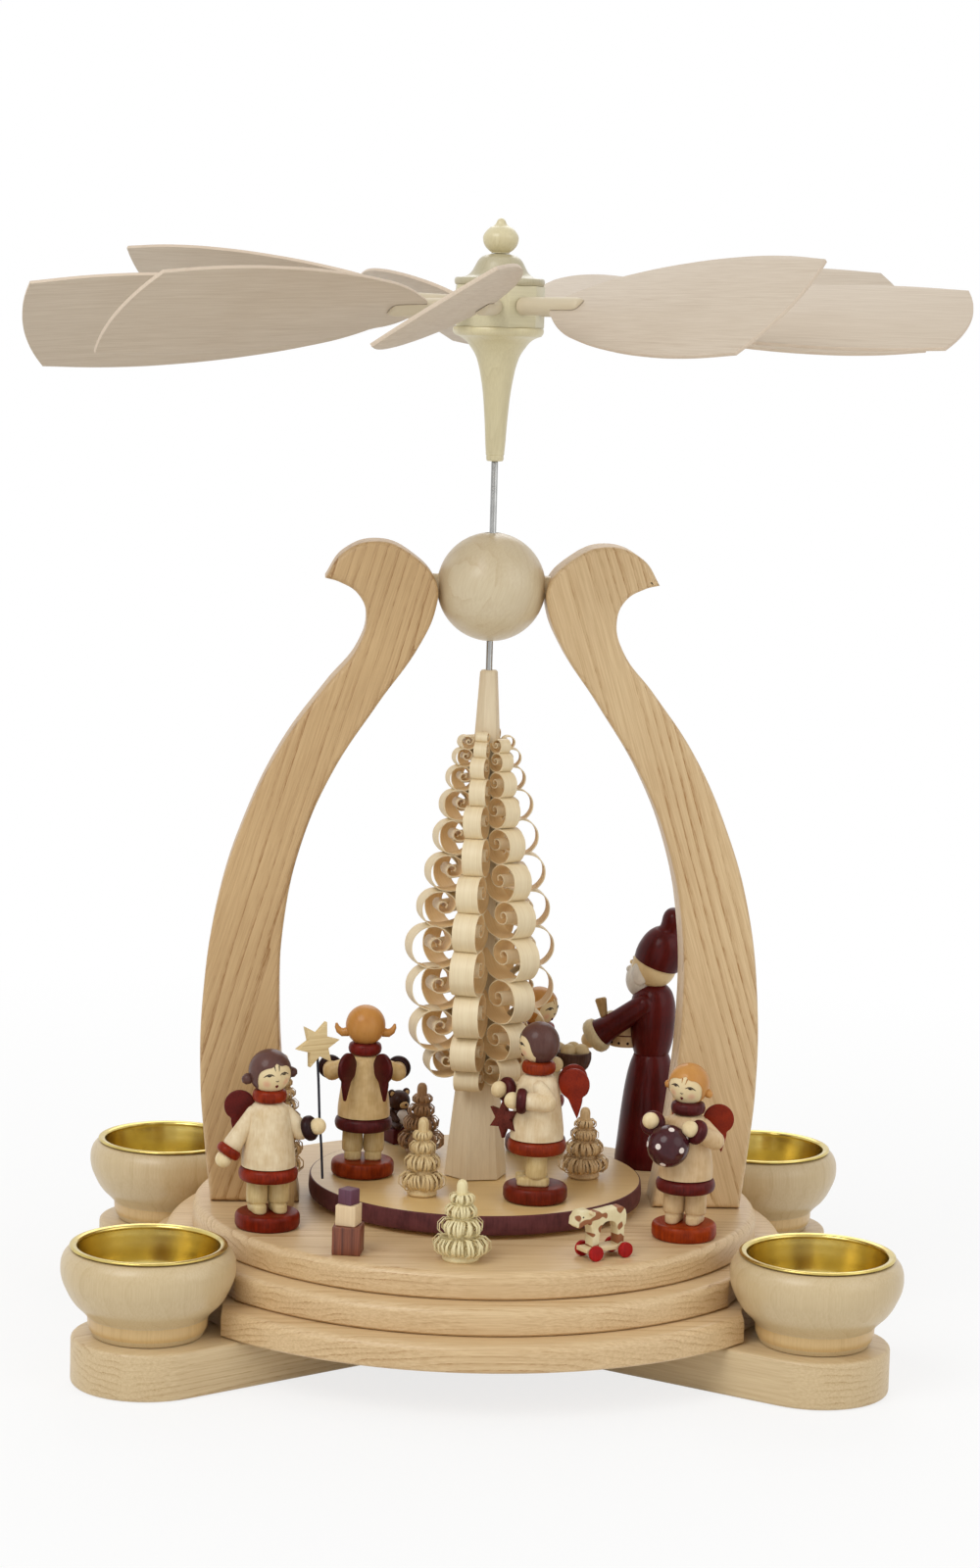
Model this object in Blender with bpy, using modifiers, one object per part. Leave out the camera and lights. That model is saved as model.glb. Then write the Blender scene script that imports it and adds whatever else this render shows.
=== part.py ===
"""Candle carousel with a turning wheel: crossed feet, three round base plates, four candle cups,
two arches that hold a ball, and a steel shaft that carries a turntable, a shaving tree and nine blades.

Metres, +Z up. The origin is on the floor, under the crossing of the feet, on the axis of the shaft.
The arches stand left and right, along X. The viewer of the photograph looks along +Y.
"""

import math

import bmesh
import bpy
from mathutils import Matrix, Vector

# Clearances and shared values
GLUE_GAP = 0.0003
RUN_GAP = 0.0004
SINK = 0.0002
CUT_OVERRUN = 0.002
MERGE_DISTANCE = 0.00001
HALF_SHARE = 0.5

# Facets of the round pieces
WIDE_SIDES = 40
BOWL_SIDES = 18
HUB_SIDES = 16
FIGURE_SIDES = 10
CHIP_SIDES = 10
PIN_SIDES = 12
PEG_SIDES = 8
HEAD_SIDES = 8
SMALL_SIDES = 6
SMALL_RINGS = 4
ROUND_STEPS = 2

# Crossed feet
FOOT_REACH = 0.1291
FOOT_WIDTH = 0.0486
FOOT_THICKNESS = 0.0154
FOOT_EDGE = 0.0010
FOOT_ANGLE = math.radians(34.5)
FOOT_END_STEPS = 10

# Base plates, bottom to top
PLATE_RADII = (0.1135, 0.1040, 0.0950)
PLATE_THICKNESS = 0.0087
PLATE_NOSE = 0.0030
PLATE_ARRIS = 0.0006

# Candle cups and their liners
CUP_RADIUS = 0.0277
CUP_HEIGHT = 0.0279
CUP_PROFILE_SHARES = (
    (0.894, 1.000), (0.970, 0.940), (1.000, 0.780), (0.984, 0.600), (0.852, 0.369), (0.697, 0.208),
    (0.712, 0.150), (0.632, 0.000),
)
LINER_OPENING = 0.0229
LINER_FLOOR = 0.0200
LINER_DEPTH = 0.0140
LINER_WALL = 0.0006
LINER_RIM = 0.0248
LINER_RIM_THICKNESS = 0.0007

# Arches: points from the inner side of the foot over the curled head to its tip, then down outside
ARCH_REACH = 0.0930
ARCH_THICKNESS = 0.0220
ARCH_EDGE = 0.0016
ARCH_INNER_SHARES = (
    (0.638, 0.000), (0.695, 0.147), (0.724, 0.314), (0.713, 0.426), (0.661, 0.539), (0.554, 0.652),
    (0.395, 0.759), (0.252, 0.848), (0.199, 0.902), (0.197, 0.938), (0.278, 0.979), (0.403, 1.000),
    (0.530, 0.982), (0.591, 0.944),
)
ARCH_OUTER_SHARES = (
    (0.591, 0.944), (0.540, 0.938), (0.472, 0.920), (0.443, 0.888), (0.470, 0.844), (0.581, 0.784),
    (0.733, 0.693), (0.862, 0.578), (0.949, 0.458), (0.996, 0.314), (1.000, 0.187), (0.981, 0.088),
    (0.957, 0.000),
)
ARCH_DOWEL_RADIUS = 0.0040
ARCH_DOWEL_LENGTH = 0.0066
ARCH_DOWEL_SHARES = (0.7183, 0.8731)
ARCH_HEAD_SHARE = 0.197

# Ball between the arches
BALL_CLEARANCE = 0.0003
BALL_HEIGHT = 0.2496
BALL_SHARE_OF_ARCH = 0.934
BALL_RINGS = 10
BALL_DOWEL_RADIUS = 0.0040
BALL_DOWEL_DEPTH = 0.0062
BALL_DOWEL_REACH = 0.0082

# Shaft, bearing and bush
SHAFT_RADIUS = 0.0011
SHAFT_POINT = 0.0014
SHAFT_RISE = 0.0025
BUSH_WALL = 0.0009
BUSH_INSET = 0.0008
BEARING_RADIUS = 0.0040
BEARING_HEIGHT = 0.0040
BEARING_MOUTH = 0.0017
BEARING_CONE_DEPTH = 0.0022
BEARING_FLOOR = 0.0011

# Turntable
TURNTABLE_RADIUS = 0.0560
TURNTABLE_THICKNESS = 0.0065
TURNTABLE_LIFT = 0.0016
TURNTABLE_EDGE = 0.0004

# Shaving tree
TREE_BELOW_BALL = 0.0096
TREE_WAIST_SHARE = 0.182
TREE_SHOULDER_SHARE = 0.881
TREE_FOOT_RADIUS = 0.0109
TREE_WAIST_RADIUS = 0.0076
TREE_SHOULDER_RADIUS = 0.0042
TREE_TOP_RADIUS = 0.0029
TREE_FACETS = 6
CURL_COLUMNS = 6
CURL_TURN = math.radians(-104.5)
CURL_ROW_SHARES = (
    0.000, 0.058, 0.159, 0.281, 0.403, 0.505, 0.606, 0.708, 0.798, 0.873, 0.931, 0.972, 1.000,
)
CURL_WALL_SHARE = 0.24
CURL_GAP_SHARE = 0.18
CURL_STEPS = 4
CURL_SWEEP = math.radians(285)
CURL_START = math.radians(-90)
CURL_WIND_SHARE = 0.45
CURL_BOTTOM_WIDTH = 0.0090
CURL_TOP_WIDTH = 0.0060
CURL_SPINE = 0.0020
CURL_SPINE_SHARE = 0.60
TREE_WIDEST = 0.0248
TREE_ENVELOPE_SHARES = (
    (0.00, 0.52), (0.10, 0.82), (0.20, 0.95), (0.30, 1.00), (0.40, 0.95), (0.50, 0.86), (0.60, 0.77),
    (0.70, 0.66), (0.80, 0.58), (0.90, 0.50), (1.00, 0.38),
)

# Hub
HUB_FACES = 9
HUB_APOTHEM = 0.0141
HUB_BELOW_BLADES = 0.00665
HUB_HEIGHT = 0.01295
SPINDLE_RADIUS = 0.0148
SPINDLE_HEIGHT = 0.0436
SPINDLE_PROFILE_SHARES = (
    (1.000, 1.000), (1.000, 0.955), (0.797, 0.930), (0.581, 0.883), (0.432, 0.810), (0.304, 0.626),
    (0.196, 0.330), (0.186, 0.000),
)
CAP_RADIUS = 0.0147
CAP_HEIGHT = 0.0104
CAP_PROFILE_SHARES = (
    (0.218, 1.000), (0.435, 0.856), (0.585, 0.471), (0.728, 0.327), (1.000, 0.260), (1.000, 0.000),
)
FINIAL_RADIUS = 0.0059
FINIAL_HEIGHT = 0.0112
FINIAL_PROFILE_SHARES = (
    (0.000, 1.000), (0.170, 0.960), (0.254, 0.880), (0.610, 0.760), (0.915, 0.610), (1.000, 0.440),
    (0.900, 0.260), (0.542, 0.090), (0.542, 0.000),
)
FINIAL_TENON_RADIUS = 0.0016
FINIAL_TENON_LENGTH = 0.0090

# Blades and their pegs; the rests are the pitches in the photograph, counter-clockwise from behind
BLADE_COUNT = 9
BLADES_ABOVE_BALL = 0.0919
BLADE_START = math.radians(-260)
BLADE_RESTS = tuple(math.radians(angle) for angle in (33, 38, 39, 35, 32.5, 41, 25.5, 38, 33))
# How far each blade hangs below level; the pegs were bored by hand, so they differ
BLADE_DROOPS = tuple(
    math.radians(angle) for angle in (0, -1.7, 3.8, 2.1, 0.7, -0.4, 0.3, -0.8, 0)
)
BLADE_ROOT = 0.0340
BLADE_REACH = 0.1509
BLADE_CROWN = 0.0043
BLADE_HALF_CHORD = 0.0232
BLADE_THICKNESS = 0.0012
BLADE_CHORD_SHARES = (
    (0.000, 0.13), (0.035, 0.26), (0.137, 0.52), (0.248, 0.69), (0.411, 0.86), (0.633, 0.99),
    (0.821, 1.00), (1.000, 0.914),
)
BLADE_CROWN_STEPS = 5
PEG_RADIUS = 0.0029
PEG_END = 0.0480
PEG_TIP_SHARE = 0.45
PEG_TAPER = 0.0060
PEG_SLOT_DEPTH = 0.0003
TENON_RADIUS = 0.0020
TENON_INNER = 0.0074

# Angels
DISC_RADIUS = 0.0103
DISC_HEIGHT = 0.0048
DISC_EDGE = 0.0010
LEG_RADIUS = 0.0034
LEG_SPREAD = 0.0037
SHOE_LENGTH = 0.0084
SHOE_HEIGHT = 0.0034
SHOE_LIFT = 0.0062
SHOE_FORWARD = 0.0014
BODY_RADIUS = 0.0093
BODY_BOTTOM = 0.0148
BODY_HEIGHT = 0.0306
BODY_PROFILE_SHARES = (
    (0.000, 1.000), (0.460, 1.000), (0.590, 0.920), (0.480, 0.840), (0.700, 0.810), (0.800, 0.660),
    (0.940, 0.170), (1.000, 0.110), (0.960, 0.000), (0.000, 0.000),
)
HEAD_RADIUS = 0.0063
HEAD_HEIGHT = 0.0509
BUN_RADIUS = 0.0022
BUN_SPREAD = 0.0068
BUN_HEIGHT = 0.0490
ARM_RADIUS = 0.0027
CUFF_RADIUS = 0.0034
CUFF_LENGTH = 0.0024
HAND_RADIUS = 0.0025
SHOULDER_SPREAD = 0.0050
SHOULDER_HEIGHT = 0.0378
WING_RADIUS = 0.0052
WING_TAIL = 0.0112
WING_THICKNESS = 0.0014
WING_ANGLE = math.radians(45)
WING_HEIGHT = 0.0383
WING_OUT = 0.0063
WING_ROOT = 0.0048
WING_STEPS = 7

# Staff with the star
STAFF_RADIUS = 0.0005
STAFF_FOOT = Vector((0.0172, -0.0040, 0.0162))
STAFF_HEAD = Vector((0.0144, -0.0040, 0.0560))
STAR_RADIUS = 0.0070
STAR_WAIST_SHARE = 0.53
STAR_POINTS = 6
STAR_THICKNESS = 0.0018
STAR_TURN = math.radians(8)

# Things that the other angels hold, in the angel's own frame
TOY_BALL_RADIUS = 0.0056
TOY_BALL_PLACE = Vector((-0.0042, -0.0104, 0.0310))
HELD_STAR_PLACE = Vector((0.0005, -0.0122, 0.0318))
HELD_STAR_RADIUS = 0.0052
BOWL_RADIUS = 0.0058
BOWL_HEIGHT = 0.0050
BOWL_PLACE = Vector((0.0020, -0.0125, 0.0338))
BOWL_BALL_RADIUS = 0.0023
BOWL_BALLS = 3

# Gift bringer
ROBE_RADIUS = 0.0118
ROBE_HEIGHT = 0.0625
ROBE_PROFILE_SHARES = (
    (0.000, 1.000), (0.300, 1.000), (0.560, 0.940), (0.680, 0.800), (0.620, 0.690), (0.520, 0.655),
    (0.640, 0.580), (0.840, 0.420), (1.000, 0.060), (1.000, 0.000), (0.000, 0.000),
)
GIFT_HEAD_RADIUS = 0.0077
GIFT_HEAD_HEIGHT = 0.0682
HAT_RADIUS = 0.0081
HAT_BOTTOM = 0.0690
HAT_HEIGHT = 0.0227
HAT_PROFILE_SHARES = (
    (0.000, 1.000), (0.300, 0.970), (0.440, 0.840), (0.410, 0.680), (0.620, 0.560), (0.900, 0.300),
    (1.000, 0.080), (0.900, 0.000), (0.000, 0.000),
)
BEARD_RADIUS = 0.0052
BEARD_PLACE = Vector((0.0000, -0.0062, 0.0625))
SLEEVE_RADIUS = 0.0034
SLEEVE_CUFF_RADIUS = 0.0055
GIFT_SHOULDER_SPREAD = 0.0058
GIFT_SHOULDER_HEIGHT = 0.0545
GIFT_HAND_SPREAD = 0.0086
GIFT_HAND_FORWARD = 0.0160
GIFT_HAND_HEIGHT = 0.0470
DRUM_RADIUS = 0.0062
DRUM_LENGTH = 0.0120
DRUM_HEIGHT = 0.0440
DRUM_FORWARD = 0.0098
STICK_RADIUS = 0.0014
STICK_LENGTH = 0.0120
STICK_PLACE = Vector((0.0060, -0.0150, 0.0560))

# Trees of curled chips
CHIP_PROFILE_SHARES = (
    (0.000, 1.000), (0.190, 0.970), (0.190, 0.740), (0.480, 0.680), (0.380, 0.600), (0.700, 0.530),
    (0.520, 0.420), (0.910, 0.330), (0.660, 0.230), (1.000, 0.130), (0.640, 0.030), (0.640, 0.000),
    (0.000, 0.000),
)

# Cubes, cow and bear
CUBE_SIZES = (0.0080, 0.0070, 0.0058)
CUBE_TURNS = tuple(math.radians(angle) for angle in (14, 38, 22))
COW_BODY_LENGTH = 0.0088
COW_BODY_WIDTH = 0.0036
COW_BODY_HEIGHT = 0.0044
COW_BODY_LIFT = 0.0115
COW_LEG_SIZE = 0.0017
COW_HEAD_LENGTH = 0.0052
COW_HEAD_HEIGHT = 0.0032
COW_HEAD_LIFT = 0.0140
BOARD_LENGTH = 0.0150
BOARD_WIDTH = 0.0058
BOARD_THICKNESS = 0.0013
WHEEL_RADIUS = 0.0025
WHEEL_WIDTH = 0.0013
WHEEL_SPREAD = 0.0048
BEAR_BLOCK_SIZE = 0.0088
BEAR_BLOCK_HEIGHT = 0.0052
BEAR_BODY_RADIUS = 0.0040
BEAR_HEAD_RADIUS = 0.0034
BEAR_HEIGHT = 0.0181
BEAR_EAR_RADIUS = 0.0013
BEAR_FOOT_RADIUS = 0.0018

# Places on the base and on the turntable, with the turn of each piece about its own upright axis
STAR_BEARER_SPOT = (Vector((-0.0695, -0.0412)), math.radians(12))
LEFT_ANGEL_SPOT = (Vector((-0.0382, -0.0014)), math.radians(180))
FRONT_ANGEL_SPOT = (Vector((0.0175, -0.0331)), math.radians(-90))
REAR_ANGEL_SPOT = (Vector((0.0242, 0.0370)), math.radians(55))
BALL_BEARER_SPOT = (Vector((0.0650, -0.0470)), math.radians(-16))
GIFT_BRINGER_SPOT = (Vector((0.0625, 0.0525)), math.radians(-105))
COW_SPOT = (Vector((0.0379, -0.0729)), math.radians(29))
CUBE_SPOT = (Vector((-0.0435, -0.0721)), 0.0)
BEAR_SPOT = (Vector((-0.0252, 0.0460)), math.radians(30))
TALL_TREE_SPOT = Vector((-0.0655, -0.0215))
TALL_TREE_SIZE = (0.0086, 0.0530)
BASE_TREE_SPOT = Vector((-0.0080, -0.0790))
BASE_TREE_SIZE = (0.0094, 0.0260)
TURNTABLE_TREES = (
    ("chip_tree_rear", Vector((-0.0176, 0.0296)), (0.0084, 0.0247)),
    ("chip_tree_front", Vector((-0.0189, -0.0290)), (0.0080, 0.0260)),
    ("chip_tree_right", Vector((0.0366, -0.0014)), (0.0086, 0.0240)),
)

# Arms, as elbow and hand for each side, in the angel's own frame; it faces -Y
STAR_BEARER_ARMS = (
    (Vector((-0.0094, -0.0006, 0.0300)), Vector((-0.0124, -0.0010, 0.0212))),
    (Vector((0.0106, -0.0018, 0.0330)), Vector((0.0152, -0.0040, 0.0340))),
)
LEFT_ANGEL_ARMS = (
    (Vector((-0.0112, 0.0000, 0.0352)), Vector((-0.0122, -0.0082, 0.0380))),
    (Vector((0.0112, 0.0000, 0.0352)), Vector((0.0122, -0.0082, 0.0380))),
)
FRONT_ANGEL_ARMS = (
    (Vector((-0.0084, -0.0030, 0.0335)), Vector((-0.0034, -0.0122, 0.0362))),
    (Vector((0.0084, -0.0030, 0.0335)), Vector((0.0044, -0.0122, 0.0362))),
)
REAR_ANGEL_ARMS = (
    (Vector((-0.0086, -0.0036, 0.0345)), Vector((-0.0046, -0.0118, 0.0352))),
    (Vector((0.0098, -0.0036, 0.0345)), Vector((0.0090, -0.0118, 0.0352))),
)
BALL_BEARER_ARMS = (
    (Vector((-0.0098, -0.0030, 0.0360)), Vector((-0.0104, -0.0098, 0.0400))),
    (Vector((0.0098, -0.0036, 0.0342)), Vector((0.0030, -0.0098, 0.0400))),
)

# Heights and radii that follow from the sizes above
FOOT_TOP = FOOT_THICKNESS
PLATE_PITCH = PLATE_THICKNESS + GLUE_GAP
BASE_TOP = FOOT_TOP + len(PLATE_RADII) * PLATE_PITCH
SEAT_HEIGHT = BASE_TOP + GLUE_GAP
CUP_BOTTOM = FOOT_TOP + GLUE_GAP
CUP_TOP = CUP_BOTTOM + CUP_HEIGHT
LINER_TOP = CUP_TOP + GLUE_GAP + LINER_RIM_THICKNESS
TURNTABLE_BOTTOM = BASE_TOP + TURNTABLE_LIFT
TURNTABLE_TOP = TURNTABLE_BOTTOM + TURNTABLE_THICKNESS
TURNTABLE_SEAT = TURNTABLE_TOP + GLUE_GAP
ARCH_RISE = (BALL_HEIGHT - SEAT_HEIGHT) / BALL_SHARE_OF_ARCH
BALL_RADIUS = ARCH_REACH * ARCH_HEAD_SHARE - BALL_CLEARANCE
BALL_DOWEL_INNER = BALL_RADIUS - BALL_DOWEL_DEPTH
BALL_DOWEL_OUTER = BALL_RADIUS + BALL_DOWEL_REACH
TREE_TOP = BALL_HEIGHT - BALL_RADIUS - TREE_BELOW_BALL
TREE_RISE = TREE_TOP - TURNTABLE_SEAT
TREE_WAIST = TURNTABLE_SEAT + TREE_RISE * TREE_WAIST_SHARE
TREE_SHOULDER = TURNTABLE_SEAT + TREE_RISE * TREE_SHOULDER_SHARE
CURL_TOP_ROW = (TREE_SHOULDER - TREE_WAIST) * (CURL_ROW_SHARES[-1] - CURL_ROW_SHARES[-2])
CURL_THICKNESS = CURL_TOP_ROW * CURL_WALL_SHARE
CURL_GAP = CURL_TOP_ROW * CURL_GAP_SHARE
BLADE_HEIGHT = BALL_HEIGHT + BLADES_ABOVE_BALL
SHAFT_TOP = BLADE_HEIGHT + SHAFT_RISE
SHAFT_BORE = SHAFT_RADIUS + RUN_GAP
BUSH_RADIUS = SHAFT_BORE + BUSH_WALL
HUB_RADIUS = HUB_APOTHEM / math.cos(math.pi / HUB_FACES)
HUB_BOTTOM = BLADE_HEIGHT - HUB_BELOW_BLADES
HUB_TOP = HUB_BOTTOM + HUB_HEIGHT
CAP_BOTTOM = HUB_TOP + GLUE_GAP
CAP_TOP = CAP_BOTTOM + CAP_HEIGHT
FINIAL_BOTTOM = CAP_TOP + GLUE_GAP
SPINDLE_TOP = HUB_BOTTOM - GLUE_GAP
PEG_SHOULDER = HUB_APOTHEM + GLUE_GAP + PEG_RADIUS * math.sin(max(BLADE_DROOPS))
CUP_ANGLES = (FOOT_ANGLE, math.pi - FOOT_ANGLE, math.pi + FOOT_ANGLE, -FOOT_ANGLE)
CUP_NAMES = ("rear_right", "rear_left", "front_left", "front_right")

FINISHES = {
    "ash": ((0.62, 0.44, 0.25), 0.55, 0.0),
    "linden": ((0.72, 0.58, 0.38), 0.55, 0.0),
    "maple": ((0.76, 0.68, 0.42), 0.50, 0.0),
    "birch": ((0.66, 0.55, 0.43), 0.60, 0.0),
    "brass": ((0.80, 0.60, 0.18), 0.20, 1.0),
    "steel": ((0.55, 0.55, 0.55), 0.25, 1.0),
    "tunic": ((0.85, 0.72, 0.50), 0.45, 0.0),
    "maroon": ((0.25, 0.03, 0.03), 0.40, 0.0),
    "plum": ((0.16, 0.06, 0.07), 0.45, 0.0),
    "chips": ((0.80, 0.66, 0.40), 0.60, 0.0),
    "brown": ((0.33, 0.19, 0.10), 0.60, 0.0),
}


def clear_scene():
    """Empties the scene that the script is opened in."""
    for obj in list(bpy.data.objects):
        bpy.data.objects.remove(obj, do_unlink=True)


def new_collection(name, hidden=False):
    """A collection under the scene's own."""
    made = bpy.data.collections.new(name)
    made.hide_render = hidden
    bpy.context.scene.collection.children.link(made)
    return made


def new_material(name, kind):
    """A Principled material for one piece."""
    colour, roughness, metallic = FINISHES[kind]
    material = bpy.data.materials.new(name)
    material.use_nodes = True
    shader = material.node_tree.nodes["Principled BSDF"]
    shader.inputs["Base Color"].default_value = (*colour, 1.0)
    shader.inputs["Roughness"].default_value = roughness
    shader.inputs["Metallic"].default_value = metallic
    return material


def add_piece(name, mesh, kind, parent=None, place=(0, 0, 0), turn=(0, 0, 0)):
    """A named piece with its own material, in the carousel's collection."""
    obj = bpy.data.objects.new(name, mesh)
    mesh.materials.append(new_material(name, kind))
    CAROUSEL.objects.link(obj)
    obj.parent = parent
    obj.location = place
    obj.rotation_euler = turn
    return obj


def add_tool(name, mesh, parent=None, place=(0, 0, 0), turn=(0, 0, 0)):
    """A helper that cuts a piece or is joined to it, left out of the render."""
    obj = bpy.data.objects.new(name, mesh)
    TOOLS.objects.link(obj)
    obj.parent = parent
    obj.location = place
    obj.rotation_euler = turn
    obj.hide_render = True
    obj.display_type = "WIRE"
    return obj


def add_empty(name, place, turn=(0, 0, 0), parent=None):
    """An empty that carries moving pieces on their joint's axis."""
    empty = bpy.data.objects.new(name, None)
    CAROUSEL.objects.link(empty)
    empty.parent = parent
    empty.location = place
    empty.rotation_euler = turn
    return empty


def scaled(shares, width, height, bottom=0.0):
    """Points of a profile or outline from its shares of a width and a height."""
    return [(width * across, bottom + height * up) for across, up in shares]


def profile_mesh(name, profile):
    """The edges of a profile at +X, which runs top to bottom along its outer side."""
    mesh = bpy.data.meshes.new(name)
    count = len(profile)
    edges = [(index, index + 1) for index in range(count - 1)]
    if profile[0][0] > 0:
        edges.append((count - 1, 0))
    mesh.from_pydata([(radius, 0.0, height) for radius, height in profile], edges, [])
    return mesh


def turn_on_lathe(obj, sides):
    """Turns the profile of an object about its own Z."""
    screw = obj.modifiers.new("Turned", "SCREW")
    screw.steps = sides
    screw.render_steps = sides
    screw.use_merge_vertices = True
    screw.merge_threshold = MERGE_DISTANCE
    screw.use_smooth_shade = sides > HUB_FACES
    return obj


def turned(name, profile, kind, sides, **where):
    """A turned piece."""
    return turn_on_lathe(add_piece(name, profile_mesh(name, profile), kind, **where), sides)


def turned_tool(name, profile, sides, **where):
    """A turned helper."""
    return turn_on_lathe(add_tool(name, profile_mesh(name, profile), **where), sides)


def cylinder_profile(radius, bottom, top):
    """The profile of a plain cylinder."""
    return [(0.0, top), (radius, top), (radius, bottom), (0.0, bottom)]


def outline_mesh(name, points, thickness):
    """A flat outline in XY, extruded about its own plane, with its caps welded."""
    curve = bpy.data.curves.new(name, "CURVE")
    curve.dimensions = "2D"
    curve.fill_mode = "BOTH"
    curve.extrude = thickness * HALF_SHARE
    spline = curve.splines.new("POLY")
    spline.points.add(len(points) - 1)
    for point, (across, up) in zip(spline.points, points):
        point.co = (across, up, 0.0, 1.0)
    spline.use_cyclic_u = True
    return curve_mesh(name, curve)


def curve_mesh(name, curve):
    """The closed mesh of a curve, made on a scene of its own so that nothing else is worked out again."""
    guide = bpy.data.objects.new(name + "_guide", curve)
    BENCH.collection.objects.link(guide)
    layer = BENCH.view_layers[0]
    layer.update()
    mesh = bpy.data.meshes.new_from_object(guide.evaluated_get(layer.depsgraph))
    bpy.data.objects.remove(guide)
    weld(mesh)
    return mesh


def weld(mesh):
    """Joins the loose caps of a mesh to its sides and turns all faces outwards."""
    shape = bmesh.new()
    shape.from_mesh(mesh)
    bmesh.ops.remove_doubles(shape, verts=shape.verts, dist=MERGE_DISTANCE)
    bmesh.ops.recalc_face_normals(shape, faces=shape.faces)
    shape.to_mesh(mesh)
    shape.free()


def box_mesh(name, size, centre=(0, 0, 0)):
    """A box of the given size."""
    mesh = bpy.data.meshes.new(name)
    shape = bmesh.new()
    bmesh.ops.create_cube(shape, size=1.0, matrix=Matrix.Translation(centre) @ Matrix.Diagonal((*size, 1.0)))
    shape.to_mesh(mesh)
    shape.free()
    return mesh


def ball_mesh(name, size, centre=(0, 0, 0), segments=SMALL_SIDES, rings=SMALL_RINGS):
    """A ball or, where the three half sizes differ, an egg."""
    mesh = bpy.data.meshes.new(name)
    shape = bmesh.new()
    matrix = Matrix.Translation(centre) @ Matrix.Diagonal((*size, 1.0))
    bmesh.ops.create_uvsphere(shape, u_segments=segments, v_segments=rings, radius=1.0, matrix=matrix)
    shape.to_mesh(mesh)
    shape.free()
    return mesh


def rod_mesh(name, start, end, start_radius, end_radius, sides=SMALL_SIDES):
    """A round rod or cone between two points."""
    start, end = Vector(start), Vector(end)
    way = end - start
    matrix = Matrix.Translation((start + end) * HALF_SHARE) @ way.to_track_quat("Z", "Y").to_matrix().to_4x4()
    mesh = bpy.data.meshes.new(name)
    shape = bmesh.new()
    bmesh.ops.create_cone(
        shape, cap_ends=True, segments=sides, radius1=start_radius, radius2=end_radius, depth=way.length,
        matrix=matrix,
    )
    shape.to_mesh(mesh)
    shape.free()
    return mesh


def boolean(target, tool, operation):
    """Cuts a helper from a piece, or joins it to the piece."""
    step = target.modifiers.new(tool.name, "BOOLEAN")
    step.operation = operation
    step.object = tool
    return step


def cut(target, tool):
    """Cuts a helper from a piece."""
    return boolean(target, tool, "DIFFERENCE")


def join(target, tools):
    """Joins helpers to a piece, all in one step."""
    group = new_collection(target.name + "_members", hidden=True)
    for tool in tools:
        TOOLS.objects.unlink(tool)
        group.objects.link(tool)
    step = target.modifiers.new("Joined", "BOOLEAN")
    step.operation = "UNION"
    step.operand_type = "COLLECTION"
    step.collection = group
    return step


def round_edges(obj, width, segments=1):
    """Rounds the sharp edges of a piece."""
    bevel = obj.modifiers.new("Rounded", "BEVEL")
    bevel.width = width
    bevel.segments = segments
    bevel.limit_method = "ANGLE"
    bevel.angle_limit = math.radians(50)
    return bevel


def smooth_line(points, steps):
    """A smooth curve through the points, with the given number of steps between each two."""
    line = []
    last = len(points) - 1
    for index in range(last):
        before, start, end, after = (
            Vector(points[min(max(place, 0), last)]) for place in range(index - 1, index + 3)
        )
        for step in range(steps):
            share = step / steps
            line.append(tuple(
                start * (1 + share * share * (2 * share - 3)) + end * share * share * (3 - 2 * share)
                + (end - before) * HALF_SHARE * share * (1 - share) ** 2
                - (after - start) * HALF_SHARE * share * share * (1 - share)
            ))
    return line + [tuple(points[-1])]


def arc(centre, radius, start, sweep, steps):
    """Points along an arc, both ends included."""
    return [
        (
            centre[0] + radius * math.cos(start + sweep * step / steps),
            centre[1] + radius * math.sin(start + sweep * step / steps),
        )
        for step in range(steps + 1)
    ]


def read_shares(shares, share):
    """The value at a share along a table of (share, value) pairs."""
    for (low, first), (high, second) in zip(shares, shares[1:]):
        if share <= high:
            return first + (second - first) * max(share - low, 0.0) / (high - low)
    return shares[-1][1]


def polar(angle, radius):
    """The point in XY at an angle and a radius."""
    return Vector((radius * math.cos(angle), radius * math.sin(angle)))


def make_feet():
    """Two crossed bars with round ends, half-lapped where they cross."""
    half = FOOT_WIDTH * HALF_SHARE
    quarter = math.pi / 2
    outline = arc((FOOT_REACH, 0.0), half, -quarter, math.pi, FOOT_END_STEPS)
    outline += arc((-FOOT_REACH, 0.0), half, quarter, math.pi, FOOT_END_STEPS)
    lap = (FOOT_TOP - GLUE_GAP) * HALF_SHARE
    centre = (0.0, 0.0, FOOT_THICKNESS * HALF_SHARE)
    notch = (2 * FOOT_REACH, FOOT_WIDTH + 2 * GLUE_GAP, FOOT_THICKNESS)
    for name, angle, side in (("foot_bar_lower", FOOT_ANGLE, 1), ("foot_bar_upper", -FOOT_ANGLE, -1)):
        bar = add_piece(name, outline_mesh(name, outline, FOOT_THICKNESS), "ash", None, centre, (0, 0, angle))
        round_edges(bar, FOOT_EDGE)
        lift = FOOT_THICKNESS * HALF_SHARE + side * lap
        tool = add_tool(name + "_lap", box_mesh(name + "_lap", notch), None, (0, 0, lift), (0, 0, -angle))
        cut(bar, tool)


def plate_profile(radius, bottom):
    """A round plate with a rounded upper edge."""
    top = bottom + PLATE_THICKNESS
    nose = arc((radius - PLATE_NOSE, top - PLATE_NOSE), PLATE_NOSE, math.pi / 2, -math.pi / 2, ROUND_STEPS)
    return [(0.0, top)] + nose + [
        (radius, bottom + PLATE_ARRIS), (radius - PLATE_ARRIS, bottom), (0.0, bottom)
    ]


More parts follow.
